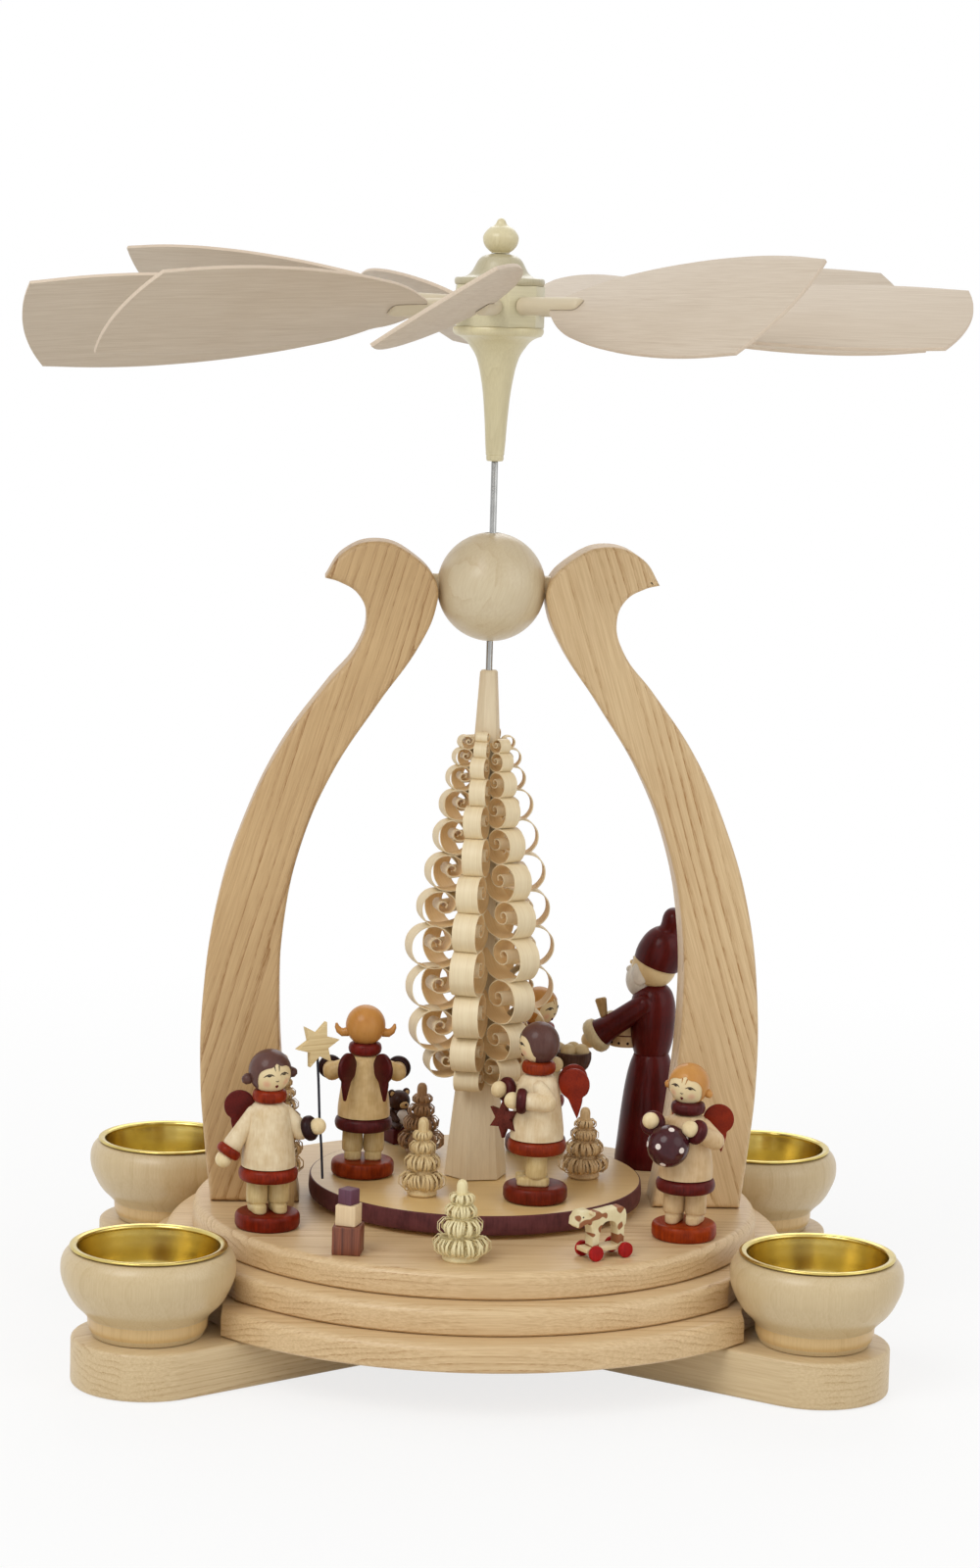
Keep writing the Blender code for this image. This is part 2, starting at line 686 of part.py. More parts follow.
def make_base():
    """The three stacked plates, hollowed where the cups stand close and drilled for what they carry."""
    for index, radius in enumerate(PLATE_RADII):
        bottom = FOOT_TOP + GLUE_GAP + index * PLATE_PITCH
        top = bottom + PLATE_THICKNESS
        name = ("base_plate_lower", "base_plate_middle", "base_plate_top")[index]
        plate = turned(name, plate_profile(radius, bottom), "ash", WIDE_SIDES)
        hollow = cup_reach(bottom, top) + GLUE_GAP
        if FOOT_REACH - hollow < radius:
            for cup_name, angle in zip(CUP_NAMES, CUP_ANGLES):
                profile = cylinder_profile(hollow, bottom - CUT_OVERRUN, top + CUT_OVERRUN)
                place = (*polar(angle, FOOT_REACH), 0.0)
                cut(plate, turned_tool(f"{name}_{cup_name}", profile, BOWL_SIDES, place=place))
    socket = BASE_TOP - BEARING_HEIGHT - GLUE_GAP - SINK
    profile = cylinder_profile(BEARING_RADIUS + GLUE_GAP, socket, BASE_TOP + CUT_OVERRUN)
    cut(plate, turned_tool("bearing_socket", profile, PIN_SIDES))
    for side in (-1, 1):
        for number, share in enumerate(ARCH_DOWEL_SHARES):
            place = ARCH_REACH * share
            low = SEAT_HEIGHT - ARCH_DOWEL_LENGTH - GLUE_GAP
            profile = cylinder_profile(ARCH_DOWEL_RADIUS + GLUE_GAP, low, BASE_TOP + CUT_OVERRUN)
            name = f"arch_socket_{side}_{number}"
            cut(plate, turned_tool(name, profile, PIN_SIDES, place=(side * place, 0, 0)))


def cup_reach(bottom, top):
    """The cup's widest radius between two heights."""
    points = scaled(CUP_PROFILE_SHARES, CUP_RADIUS, CUP_HEIGHT, CUP_BOTTOM)
    heights = [max(bottom, CUP_BOTTOM), min(top, CUP_TOP)]
    heights += [height for _, height in points if bottom <= height <= top]
    rising = [(height, radius) for radius, height in reversed(points)]
    return max(read_shares(rising, height) for height in heights)


def make_cups():
    """Four turned cups on the feet, each with a thin liner whose flange lies on the cup's mouth."""
    outer = scaled(CUP_PROFILE_SHARES, CUP_RADIUS, CUP_HEIGHT, CUP_BOTTOM)
    seat = LINER_TOP - LINER_DEPTH
    bore_bottom = seat - LINER_WALL - GLUE_GAP
    wall = LINER_WALL + GLUE_GAP
    bore = [(0.0, bore_bottom), (LINER_FLOOR + wall, bore_bottom), (LINER_OPENING + wall, CUP_TOP)]
    flange = LINER_TOP - LINER_RIM_THICKNESS
    liner = [
        (0.0, seat), (LINER_FLOOR, seat), (LINER_OPENING, LINER_TOP), (LINER_RIM, LINER_TOP),
        (LINER_RIM, flange), (LINER_OPENING + LINER_WALL, flange),
        (LINER_FLOOR + LINER_WALL, seat - LINER_WALL), (0.0, seat - LINER_WALL),
    ]
    for cup_name, angle in zip(CUP_NAMES, CUP_ANGLES):
        place = (*polar(angle, FOOT_REACH), 0.0)
        turned(f"candle_cup_{cup_name}", bore + outer + [(0.0, CUP_BOTTOM)], "linden", BOWL_SIDES, place=place)
        turned(f"candle_liner_{cup_name}", liner, "brass", BOWL_SIDES, place=place)


def make_arches():
    """The two arches, alike but turned about, with foot dowels and a hole for the ball's dowel."""
    inner = smooth_line(ARCH_INNER_SHARES, 2)
    outer = smooth_line(ARCH_OUTER_SHARES, 2)
    points = scaled(inner + outer[1:], ARCH_REACH, ARCH_RISE, SEAT_HEIGHT)
    outline = [(-across, up) for across, up in points]
    for name, side, about in (("arch_left", -1, 0.0), ("arch_right", 1, math.pi)):
        turn = (math.pi / 2, 0, about)
        arch = add_piece(name, outline_mesh(name, outline, ARCH_THICKNESS), "ash", turn=turn)
        round_edges(arch, ARCH_EDGE)
        dowels = []
        for number, share in enumerate(ARCH_DOWEL_SHARES):
            place = ARCH_REACH * share
            low = SEAT_HEIGHT - ARCH_DOWEL_LENGTH
            profile = cylinder_profile(ARCH_DOWEL_RADIUS, low, SEAT_HEIGHT + ARCH_DOWEL_LENGTH * HALF_SHARE)
            dowels.append(turned_tool(f"{name}_dowel_{number}", profile, PIN_SIDES, place=(side * place, 0, 0)))
        join(arch, dowels)
        start = (side * (BALL_DOWEL_INNER - CUT_OVERRUN), 0, BALL_HEIGHT)
        end = (side * (BALL_DOWEL_OUTER + GLUE_GAP), 0, BALL_HEIGHT)
        radius = BALL_DOWEL_RADIUS + GLUE_GAP
        cut(arch, add_tool(name + "_hole", rod_mesh(name + "_hole", start, end, radius, radius, PIN_SIDES)))


def make_ball():
    """The ball that guides the shaft, with its bush and the dowels that hold it in the arches."""
    mesh = ball_mesh("guide_ball", (BALL_RADIUS,) * 3, (0, 0, 0), HUB_SIDES, BALL_RINGS)
    ball = add_piece("guide_ball", mesh, "linden", place=(0, 0, BALL_HEIGHT))
    reach = BALL_RADIUS + CUT_OVERRUN
    profile = cylinder_profile(BUSH_RADIUS + GLUE_GAP, -reach, reach)
    cut(ball, turned_tool("ball_bore", profile, PIN_SIDES, place=(0, 0, BALL_HEIGHT)))
    for name, side in (("ball_dowel_left", -1), ("ball_dowel_right", 1)):
        inner = side * BALL_DOWEL_INNER
        start, end = (inner, 0, BALL_HEIGHT), (side * BALL_DOWEL_OUTER, 0, BALL_HEIGHT)
        add_piece(name, rod_mesh(name, start, end, BALL_DOWEL_RADIUS, BALL_DOWEL_RADIUS, PIN_SIDES), "linden")
        radius = BALL_DOWEL_RADIUS + GLUE_GAP
        start, end = (inner - side * GLUE_GAP, 0, BALL_HEIGHT), (side * reach, 0, BALL_HEIGHT)
        cut(ball, add_tool(name + "_hole", rod_mesh(name + "_hole", start, end, radius, radius, PIN_SIDES)))
    half = BALL_RADIUS - BUSH_INSET
    profile = tube_profile(BUSH_RADIUS, SHAFT_BORE, BALL_HEIGHT - half, BALL_HEIGHT + half)
    turned("guide_bush", profile, "brass", PIN_SIDES)


def tube_profile(outer, inner, bottom, top):
    """The profile of a plain tube."""
    return [(outer, top), (outer, bottom), (inner, bottom), (inner, top)]


def make_bearing_and_shaft(rotor):
    """The cup in the top plate, and the steel shaft whose point stands in its cone."""
    bottom = BASE_TOP - BEARING_HEIGHT - SINK
    top = BASE_TOP - SINK
    cone = bottom + BEARING_FLOOR
    rim = cone + BEARING_CONE_DEPTH
    profile = [
        (0.0, cone), (BEARING_MOUTH, rim), (BEARING_MOUTH, top), (BEARING_RADIUS, top),
        (BEARING_RADIUS, bottom), (0.0, bottom),
    ]
    turned("pivot_bearing", profile, "brass", PIN_SIDES)
    tip = cone + GLUE_GAP
    profile = [(0.0, SHAFT_TOP), (SHAFT_RADIUS, SHAFT_TOP), (SHAFT_RADIUS, tip + SHAFT_POINT), (0.0, tip)]
    turned("shaft", profile, "steel", PIN_SIDES, parent=rotor)


def make_turntable(rotor):
    """The plate that turns, pale on top with a stained rim."""
    edge = TURNTABLE_RADIUS - TURNTABLE_EDGE
    profile = [
        (edge, TURNTABLE_TOP), (TURNTABLE_RADIUS, TURNTABLE_TOP - TURNTABLE_EDGE),
        (TURNTABLE_RADIUS, TURNTABLE_BOTTOM), (SHAFT_BORE, TURNTABLE_BOTTOM), (SHAFT_BORE, TURNTABLE_TOP),
    ]
    turned("turntable_plate", profile, "linden", WIDE_SIDES, parent=rotor)


def row_heights():
    """The lower edge of each row of curls and, last, the upper edge of the top row."""
    return [TREE_WAIST + (TREE_SHOULDER - TREE_WAIST) * share for share in CURL_ROW_SHARES]


def core_radius(height):
    """The radius of the tree's core between its waist and its shoulder."""
    share = (height - TREE_WAIST) / (TREE_SHOULDER - TREE_WAIST)
    return TREE_WAIST_RADIUS + (TREE_SHOULDER_RADIUS - TREE_WAIST_RADIUS) * share


def curl_outline(low, high):
    """One curl, as its outer points and its inner points: out from the core, up, over and wound inwards."""
    middle = (low + high) * HALF_SHARE
    share = (middle - TREE_WAIST) / (TREE_SHOULDER - TREE_WAIST)
    reach = TREE_WIDEST * read_shares(TREE_ENVELOPE_SHARES, share)
    radius = (high - low - CURL_GAP) * HALF_SHARE
    centre = (max(reach - radius, core_radius(middle) + radius * HALF_SHARE), low + radius)
    outer, inner = [], []
    for step in range(CURL_STEPS + 1):
        part = step / CURL_STEPS
        angle = CURL_START + CURL_SWEEP * part
        wound = radius * (1.0 - CURL_WIND_SHARE * max(part - 1 / 3, 0.0) * 3 / 2)
        for line, distance in ((outer, wound), (inner, wound - CURL_THICKNESS)):
            line.append((
                centre[0] + distance * math.cos(angle),
                centre[1] + distance * math.sin(angle),
            ))
    return outer, inner


def comb_outline():
    """One column of curls on a thin spine that lies inside the core."""
    points = []
    heights = row_heights()
    for low, high in zip(heights, heights[1:]):
        outer, inner = curl_outline(low, high)
        spine = core_radius(low) * CURL_SPINE_SHARE
        points.append((spine, low))
        points += outer + inner[::-1]
        points.append((spine, low + CURL_THICKNESS))
    return points + [(CURL_SPINE, heights[-2] + CURL_THICKNESS), (CURL_SPINE, heights[0])]


def make_tree(rotor):
    """The shaving tree: a faceted trunk and core with six columns of curls."""
    profile = [
        (TREE_TOP_RADIUS, TREE_TOP), (TREE_SHOULDER_RADIUS, TREE_SHOULDER), (TREE_WAIST_RADIUS, TREE_WAIST),
        (TREE_FOOT_RADIUS, TURNTABLE_SEAT), (SHAFT_BORE, TURNTABLE_SEAT), (SHAFT_BORE, TREE_TOP),
    ]
    turn = (0, 0, CURL_TURN + math.pi / TREE_FACETS)
    tree = turned("shaving_tree", profile, "birch", TREE_FACETS, parent=rotor, turn=turn)
    outline = comb_outline()
    combs = []
    for column in range(CURL_COLUMNS):
        name = f"curls_{column}"
        mesh = outline_mesh(name, outline, CURL_BOTTOM_WIDTH)
        for vertex in mesh.vertices:
            share = (vertex.co.y - TREE_WAIST) / (TREE_SHOULDER - TREE_WAIST)
            width = CURL_BOTTOM_WIDTH + (CURL_TOP_WIDTH - CURL_BOTTOM_WIDTH) * share
            vertex.co.z *= width / CURL_BOTTOM_WIDTH
        angle = CURL_TURN + column * 2 * math.pi / CURL_COLUMNS
        combs.append(add_tool(name, mesh, parent=rotor, turn=(math.pi / 2, 0, angle)))
    join(tree, combs)


def make_hub(rotor):
    """The spindle, the nine-sided block with its peg holes, the cap and the finial."""
    bottom = SPINDLE_TOP - SPINDLE_HEIGHT
    profile = scaled(SPINDLE_PROFILE_SHARES, SPINDLE_RADIUS, SPINDLE_HEIGHT, bottom)
    profile += [(SHAFT_BORE, bottom), (SHAFT_BORE, SPINDLE_TOP)]
    turned("hub_spindle", profile, "maple", HUB_SIDES, parent=rotor)
    profile = tube_profile(HUB_RADIUS, SHAFT_BORE, HUB_BOTTOM, HUB_TOP)
    turn = (0, 0, BLADE_START + math.pi / HUB_FACES)
    block = turned("hub_block", profile, "maple", HUB_FACES, parent=rotor, turn=turn)
    inner, outer = TENON_INNER - GLUE_GAP, HUB_RADIUS + CUT_OVERRUN
    for number, droop in enumerate(BLADE_DROOPS):
        angle = BLADE_START + number * 2 * math.pi / BLADE_COUNT
        start = (*polar(angle, inner), BLADE_HEIGHT - inner * math.tan(droop))
        end = (*polar(angle, outer), BLADE_HEIGHT - outer * math.tan(droop))
        radius = TENON_RADIUS + GLUE_GAP
        name = f"peg_hole_{number + 1}"
        cut(block, add_tool(name, rod_mesh(name, start, end, radius, radius), parent=rotor))
    bore = FINIAL_TENON_RADIUS + GLUE_GAP
    profile = scaled(CAP_PROFILE_SHARES, CAP_RADIUS, CAP_HEIGHT, CAP_BOTTOM)
    turned("hub_cap", profile + [(bore, CAP_BOTTOM), (bore, CAP_TOP)], "maple", HUB_SIDES, parent=rotor)
    profile = scaled(FINIAL_PROFILE_SHARES, FINIAL_RADIUS, FINIAL_HEIGHT, FINIAL_BOTTOM)
    tenon = FINIAL_BOTTOM - FINIAL_TENON_LENGTH
    profile += [(FINIAL_TENON_RADIUS, FINIAL_BOTTOM), (FINIAL_TENON_RADIUS, tenon), (0.0, tenon)]
    turned("finial", profile, "maple", PIN_SIDES, parent=rotor)


def blade_outline():
    """The blade from its narrow root to its crowned end, along +X."""
    span = BLADE_REACH - BLADE_ROOT
    side = [
        (BLADE_ROOT + span * along, BLADE_HALF_CHORD * across) for along, across in BLADE_CHORD_SHARES
    ]
    half = side[-1][1]
    radius = (half * half + BLADE_CROWN * BLADE_CROWN) / (2 * BLADE_CROWN)
    spread = math.asin(half / radius)
    centre = (BLADE_REACH + BLADE_CROWN - radius, 0.0)
    crown = arc(centre, radius, spread, -2 * spread, BLADE_CROWN_STEPS)
    return side[:-1] + crown + [(along, -across) for along, across in reversed(side[:-1])]


def make_blades(rotor):
    """Nine blades, each let into the slot of a peg that turns in the hub."""
    outline = blade_outline()
    slot_length = PEG_END - BLADE_ROOT + GLUE_GAP + CUT_OVERRUN
    slot_size = (slot_length, 2 * (PEG_RADIUS + CUT_OVERRUN), BLADE_THICKNESS + 2 * PEG_SLOT_DEPTH)
    slot_centre = (BLADE_ROOT - GLUE_GAP + slot_length * HALF_SHARE, 0, 0)
    taper = PEG_END - PEG_TAPER
    profile = [
        (0.0, PEG_END), (PEG_RADIUS * PEG_TIP_SHARE, PEG_END), (PEG_RADIUS, taper),
        (PEG_RADIUS, PEG_SHOULDER), (TENON_RADIUS, PEG_SHOULDER), (TENON_RADIUS, TENON_INNER),
        (0.0, TENON_INNER),
    ]
    along = (0, math.pi / 2, 0)
    for number, (rest, droop) in enumerate(zip(BLADE_RESTS, BLADE_DROOPS)):
        angle = BLADE_START + number * 2 * math.pi / BLADE_COUNT
        pivot = f"blade_pivot_{number + 1}"
        wing = add_empty(pivot, (0, 0, BLADE_HEIGHT), (rest, droop, angle), rotor)
        name = f"blade_peg_{number + 1}"
        peg = turned(name, profile, "maple", PEG_SIDES, parent=wing, turn=along)
        cut(peg, add_tool(name + "_slot", box_mesh(name + "_slot", slot_size, slot_centre), parent=wing))
        name = f"blade_{number + 1}"
        add_piece(name, outline_mesh(name, outline, BLADE_THICKNESS), "birch", wing)


def wing_outline():
    """A round wing with a pointed tail."""
    gap = math.radians(62)
    rounded = arc((0.0, 0.0), WING_RADIUS, gap - math.pi / 2, 2 * (math.pi - gap), WING_STEPS)
    return rounded + [(0.0, -WING_TAIL)]


def star_outline(radius, turn):
    """A star with points and waists in turn."""
    points = []
    for corner in range(2 * STAR_POINTS):
        reach = radius * (STAR_WAIST_SHARE if corner % 2 else 1.0)
        angle = turn + corner * math.pi / STAR_POINTS
        points.append((reach * math.cos(angle), reach * math.sin(angle)))
    return points


def tube_mesh(name, points, radii):
    """A six-sided tube through the points, with a radius at each, and its caps welded."""
    curve = bpy.data.curves.new(name, "CURVE")
    curve.dimensions = "3D"
    curve.bevel_depth = radii[0]
    curve.bevel_resolution = 1
    curve.use_fill_caps = True
    spline = curve.splines.new("POLY")
    spline.points.add(len(points) - 1)
    for point, place, radius in zip(spline.points, points, radii):
        point.co = (*place, 1.0)
        point.radius = radius / radii[0]
    return curve_mesh(name, curve)


def arm_tool(name, owner, shoulder, elbow, hand, radius, cuff_radius, hand_radius):
    """One turned arm: the sleeve, bent at the elbow, its cuff and the ball of the hand."""
    way = (hand - elbow).normalized()
    half_hand = hand_radius * math.sqrt(HALF_SHARE)
    cuff_end = hand - way * half_hand
    cuff_start = cuff_end - way * CUFF_LENGTH
    points = [
        shoulder, elbow, cuff_start, cuff_start + way * SINK, cuff_end, cuff_end + way * SINK, hand,
        hand + way * half_hand, hand + way * hand_radius,
    ]
    radii = [
        radius, radius, radius, cuff_radius, cuff_radius, half_hand, hand_radius, half_hand,
        hand_radius * HALF_SHARE * HALF_SHARE,
    ]
    return add_tool(name, tube_mesh(name, points, radii), parent=owner)


def angel_members(owner, arms):
    """What an angel has above its round disc."""
    name = owner.name
    members = []
    for side, word in ((-1, "left"), (1, "right")):
        across = side * LEG_SPREAD
        start = (across, 0, DISC_HEIGHT * HALF_SHARE)
        end = (across, 0, BODY_BOTTOM + BODY_HEIGHT * HALF_SHARE * HALF_SHARE)
        mesh = rod_mesh(f"{name}_leg_{word}", start, end, LEG_RADIUS, LEG_RADIUS)
        members.append(add_tool(mesh.name, mesh, parent=owner))
        size = (2 * LEG_RADIUS - SINK, SHOE_LENGTH, SHOE_HEIGHT)
        mesh = box_mesh(f"{name}_shoe_{word}", size, (across, -SHOE_FORWARD, SHOE_LIFT))
        members.append(add_tool(mesh.name, mesh, parent=owner))
        size = (BUN_RADIUS,) * 3
        mesh = ball_mesh(f"{name}_bun_{word}", size, (side * BUN_SPREAD, 0, BUN_HEIGHT))
        members.append(add_tool(mesh.name, mesh, parent=owner))
        shoulder = Vector((side * SHOULDER_SPREAD, 0, SHOULDER_HEIGHT))
        elbow, hand = arms[0 if side < 0 else 1]
        members.append(arm_tool(
            f"{name}_arm_{word}", owner, shoulder, elbow, hand, ARM_RADIUS, CUFF_RADIUS, HAND_RADIUS
        ))
        angle = math.pi / 2 - side * WING_ANGLE
        reach = polar(angle, WING_OUT)
        place = (reach.x, WING_ROOT + reach.y, WING_HEIGHT)
        mesh = outline_mesh(f"{name}_wing_{word}", wing_outline(), WING_THICKNESS)
        members.append(add_tool(mesh.name, mesh, parent=owner, place=place, turn=(math.pi / 2, 0, angle)))
    profile = scaled(BODY_PROFILE_SHARES, BODY_RADIUS, BODY_HEIGHT, BODY_BOTTOM)
    members.append(turned_tool(name + "_body", profile, FIGURE_SIDES, parent=owner))
    mesh = ball_mesh(name + "_head", (HEAD_RADIUS,) * 3, (0, 0, HEAD_HEIGHT), HEAD_SIDES, SMALL_SIDES)
    members.append(add_tool(mesh.name, mesh, parent=owner))
    return members


def make_angel(name, spot, seat, parent, arms, extra=()):
    """An angel on its disc, with what it holds."""
    place, turn = spot
    edge = DISC_RADIUS - DISC_EDGE
    profile = [
        (0.0, DISC_HEIGHT), (edge, DISC_HEIGHT), (DISC_RADIUS, DISC_HEIGHT - DISC_EDGE), (edge, 0.0),
        (0.0, 0.0),
    ]
    where = {"parent": parent, "place": (*place, seat), "turn": (0, 0, turn)}
    angel = turned(name, profile, "tunic", FIGURE_SIDES, **where)
    members = angel_members(angel, arms)
    for number, (mesh, place, turn) in enumerate(extra):
        members.append(add_tool(f"{name}_held_{number}", mesh, parent=angel, place=place, turn=turn))
    join(angel, members)
    return angel


def make_star_bearer():
    """The angel with the staff, and the wire staff with the wooden star."""
    angel = make_angel("angel_star_bearer", STAR_BEARER_SPOT, SEAT_HEIGHT, None, STAR_BEARER_ARMS)
    radius = STAFF_RADIUS + GLUE_GAP
    mesh = rod_mesh("staff_hole", STAFF_FOOT, STAFF_HEAD, radius, radius)
    cut(angel, add_tool("staff_hole", mesh, parent=angel))
    place, turn = STAR_BEARER_SPOT
    mesh = outline_mesh("star_staff", star_outline(STAR_RADIUS, STAR_TURN), STAR_THICKNESS)
    angel_turn = Matrix.Rotation(turn, 4, "Z")
    head = angel_turn @ (STAFF_HEAD + Vector((0, 0, STAR_RADIUS * STAR_WAIST_SHARE)))
    star_place = (place.x + head.x, place.y + head.y, SEAT_HEIGHT + head.z)
    staff = add_piece("star_staff", mesh, "birch", None, star_place, (math.pi / 2, 0, turn))
    wire = rod_mesh("staff_wire", STAFF_FOOT, STAFF_HEAD, STAFF_RADIUS, STAFF_RADIUS)
    join(staff, [add_tool("staff_wire", wire, None, (*place, SEAT_HEIGHT), (0, 0, turn))])


def make_turntable_angels(rotor):
    """The three angels that ride on the turntable."""
    make_angel("angel_plate_left", LEFT_ANGEL_SPOT, TURNTABLE_SEAT, rotor, LEFT_ANGEL_ARMS)
    star = outline_mesh("held_star", star_outline(HELD_STAR_RADIUS, math.pi / 2), STAR_THICKNESS)
    extra = [(star, HELD_STAR_PLACE, (math.pi / 2, 0, 0))]
    make_angel("angel_plate_front", FRONT_ANGEL_SPOT, TURNTABLE_SEAT, rotor, FRONT_ANGEL_ARMS, extra)
    bowl = ball_mesh("held_bowl", (BOWL_RADIUS, BOWL_RADIUS, BOWL_HEIGHT), (0, 0, 0), PIN_SIDES)
    extra = [(bowl, BOWL_PLACE, (0, 0, 0))]
    for number in range(BOWL_BALLS):
        spot = polar(number * 2 * math.pi / BOWL_BALLS, BOWL_BALL_RADIUS + SINK)
        lift = Vector((spot.x, spot.y, BOWL_HEIGHT - BOWL_BALL_RADIUS * HALF_SHARE))
        ball = ball_mesh(f"bowl_ball_{number}", (BOWL_BALL_RADIUS,) * 3)
        extra.append((ball, BOWL_PLACE + lift, (0, 0, 0)))
    make_angel("angel_plate_rear", REAR_ANGEL_SPOT, TURNTABLE_SEAT, rotor, REAR_ANGEL_ARMS, extra)


def make_ball_bearer():
    """The angel that holds a spotted ball."""
    ball = ball_mesh("held_ball", (TOY_BALL_RADIUS,) * 3, (0, 0, 0), PIN_SIDES, SMALL_SIDES)
    extra = [(ball, TOY_BALL_PLACE, (0, 0, 0))]
    make_angel("angel_ball_bearer", BALL_BEARER_SPOT, SEAT_HEIGHT, None, BALL_BEARER_ARMS, extra)


def make_gift_bringer():
    """The robed figure with a beard and a drum."""
    place, turn = GIFT_BRINGER_SPOT
    profile = scaled(ROBE_PROFILE_SHARES, ROBE_RADIUS, ROBE_HEIGHT)
    figure = turned(
        "gift_bringer", profile, "maroon", FIGURE_SIDES, place=(*place, SEAT_HEIGHT), turn=(0, 0, turn)
    )
    name = figure.name
    head = ball_mesh(name + "_head", (GIFT_HEAD_RADIUS,) * 3, (0, 0, GIFT_HEAD_HEIGHT), PIN_SIDES, SMALL_SIDES)
    beard = ball_mesh(name + "_beard", (BEARD_RADIUS,) * 3, BEARD_PLACE)
    members = [add_tool(head.name, head, parent=figure), add_tool(beard.name, beard, parent=figure)]
    profile = scaled(HAT_PROFILE_SHARES, HAT_RADIUS, HAT_HEIGHT, HAT_BOTTOM)
    members.append(turned_tool(name + "_hat", profile, FIGURE_SIDES, parent=figure))
    for side, word in ((-1, "left"), (1, "right")):
        shoulder = Vector((side * GIFT_SHOULDER_SPREAD, 0, GIFT_SHOULDER_HEIGHT))
        hand = Vector((side * GIFT_HAND_SPREAD, -GIFT_HAND_FORWARD, GIFT_HAND_HEIGHT))
        elbow = shoulder.lerp(hand, HALF_SHARE)
        members.append(arm_tool(
            f"{name}_arm_{word}", figure, shoulder, elbow, hand, SLEEVE_RADIUS, SLEEVE_CUFF_RADIUS,
            SLEEVE_RADIUS,
        ))
    half = DRUM_LENGTH * HALF_SHARE
    start, end = (-half, -DRUM_FORWARD, DRUM_HEIGHT), (half, -DRUM_FORWARD, DRUM_HEIGHT)
    drum = rod_mesh(name + "_drum", start, end, DRUM_RADIUS, DRUM_RADIUS, PIN_SIDES)
    members.append(add_tool(drum.name, drum, parent=figure))
    foot = STICK_PLACE - Vector((0, 0, STICK_LENGTH))
    stick = rod_mesh(name + "_stick", foot, STICK_PLACE, STICK_RADIUS * HALF_SHARE, STICK_RADIUS)
    members.append(add_tool(stick.name, stick, parent=figure))
    join(figure, members)


def make_chip_trees(rotor):
    """The small trees of curled chips."""
    trees = [(*tree, TURNTABLE_SEAT, rotor) for tree in TURNTABLE_TREES]
    trees.append(("chip_tree_base", BASE_TREE_SPOT, BASE_TREE_SIZE, SEAT_HEIGHT, None))
    trees.append(("chip_tree_tall", TALL_TREE_SPOT, TALL_TREE_SIZE, SEAT_HEIGHT, None))
    for name, spot, (radius, height), seat, parent in trees:
        profile = scaled(CHIP_PROFILE_SHARES, radius, height)
        turned(name, profile, "chips", CHIP_SIDES, parent=parent, place=(*spot, seat))


def make_cubes():
    """Three toy cubes, each a little smaller and turned."""
    spot, _ = CUBE_SPOT
    low = 0.0
    members = []
    stack = None
    for number, (size, turn) in enumerate(zip(CUBE_SIZES, CUBE_TURNS)):
        centre = (*spot, SEAT_HEIGHT + low + size * HALF_SHARE)
        if stack is None:
            mesh = box_mesh("cube_stack", (size,) * 3)
            stack = add_piece("cube_stack", mesh, "brown", None, centre, (0, 0, turn))
        else:
            name = f"cube_{number}"
            members.append(add_tool(name, box_mesh(name, (size,) * 3), None, centre, (0, 0, turn)))
        low += size - SINK
    join(stack, members)


def make_cow():
    """A toy cow, its head towards -X, on a board with four wheels."""
    spot, turn = COW_SPOT
    board_lift = WHEEL_RADIUS + BOARD_THICKNESS * HALF_SHARE
    where = {"place": (*spot, SEAT_HEIGHT), "turn": (0, 0, turn)}
    size = (BOARD_LENGTH, BOARD_WIDTH, BOARD_THICKNESS)
    cow = add_piece("toy_cow", box_mesh("toy_cow", size, (0, 0, board_lift)), "tunic", **where)
    legs_top = COW_BODY_LIFT
    half = COW_BODY_LENGTH * HALF_SHARE
    inset = half - COW_LEG_SIZE * HALF_SHARE
    side_inset = (COW_BODY_WIDTH - COW_LEG_SIZE) * HALF_SHARE + SINK
    meshes = [
        box_mesh("cow_body", (COW_BODY_LENGTH, COW_BODY_WIDTH, COW_BODY_HEIGHT), (0, 0, legs_top)),
        box_mesh(
            "cow_head", (COW_HEAD_LENGTH, COW_BODY_WIDTH - SINK, COW_HEAD_HEIGHT),
            (-half - COW_HEAD_LENGTH * HALF_SHARE + COW_LEG_SIZE, 0, COW_HEAD_LIFT),
        ),
    ]
    for end in (-1, 1):
        for side in (-1, 1):
            low, high = WHEEL_RADIUS + BOARD_THICKNESS * HALF_SHARE, legs_top
            centre = (end * inset + end * SINK, side * side_inset, (low + high) * HALF_SHARE)
            meshes.append(box_mesh(f"cow_leg_{end}_{side}", (COW_LEG_SIZE, COW_LEG_SIZE, high - low), centre))
            along = end * (BOARD_LENGTH * HALF_SHARE - WHEEL_RADIUS)
            inner, outer = side * (WHEEL_SPREAD - WHEEL_WIDTH), side * WHEEL_SPREAD
            start, stop = (along, inner - side * WHEEL_WIDTH, WHEEL_RADIUS), (along, outer, WHEEL_RADIUS)
            meshes.append(rod_mesh(f"wheel_{end}_{side}", start, stop, WHEEL_RADIUS, WHEEL_RADIUS, PEG_SIDES))
    join(cow, [add_tool(mesh.name, mesh, parent=cow) for mesh in meshes])


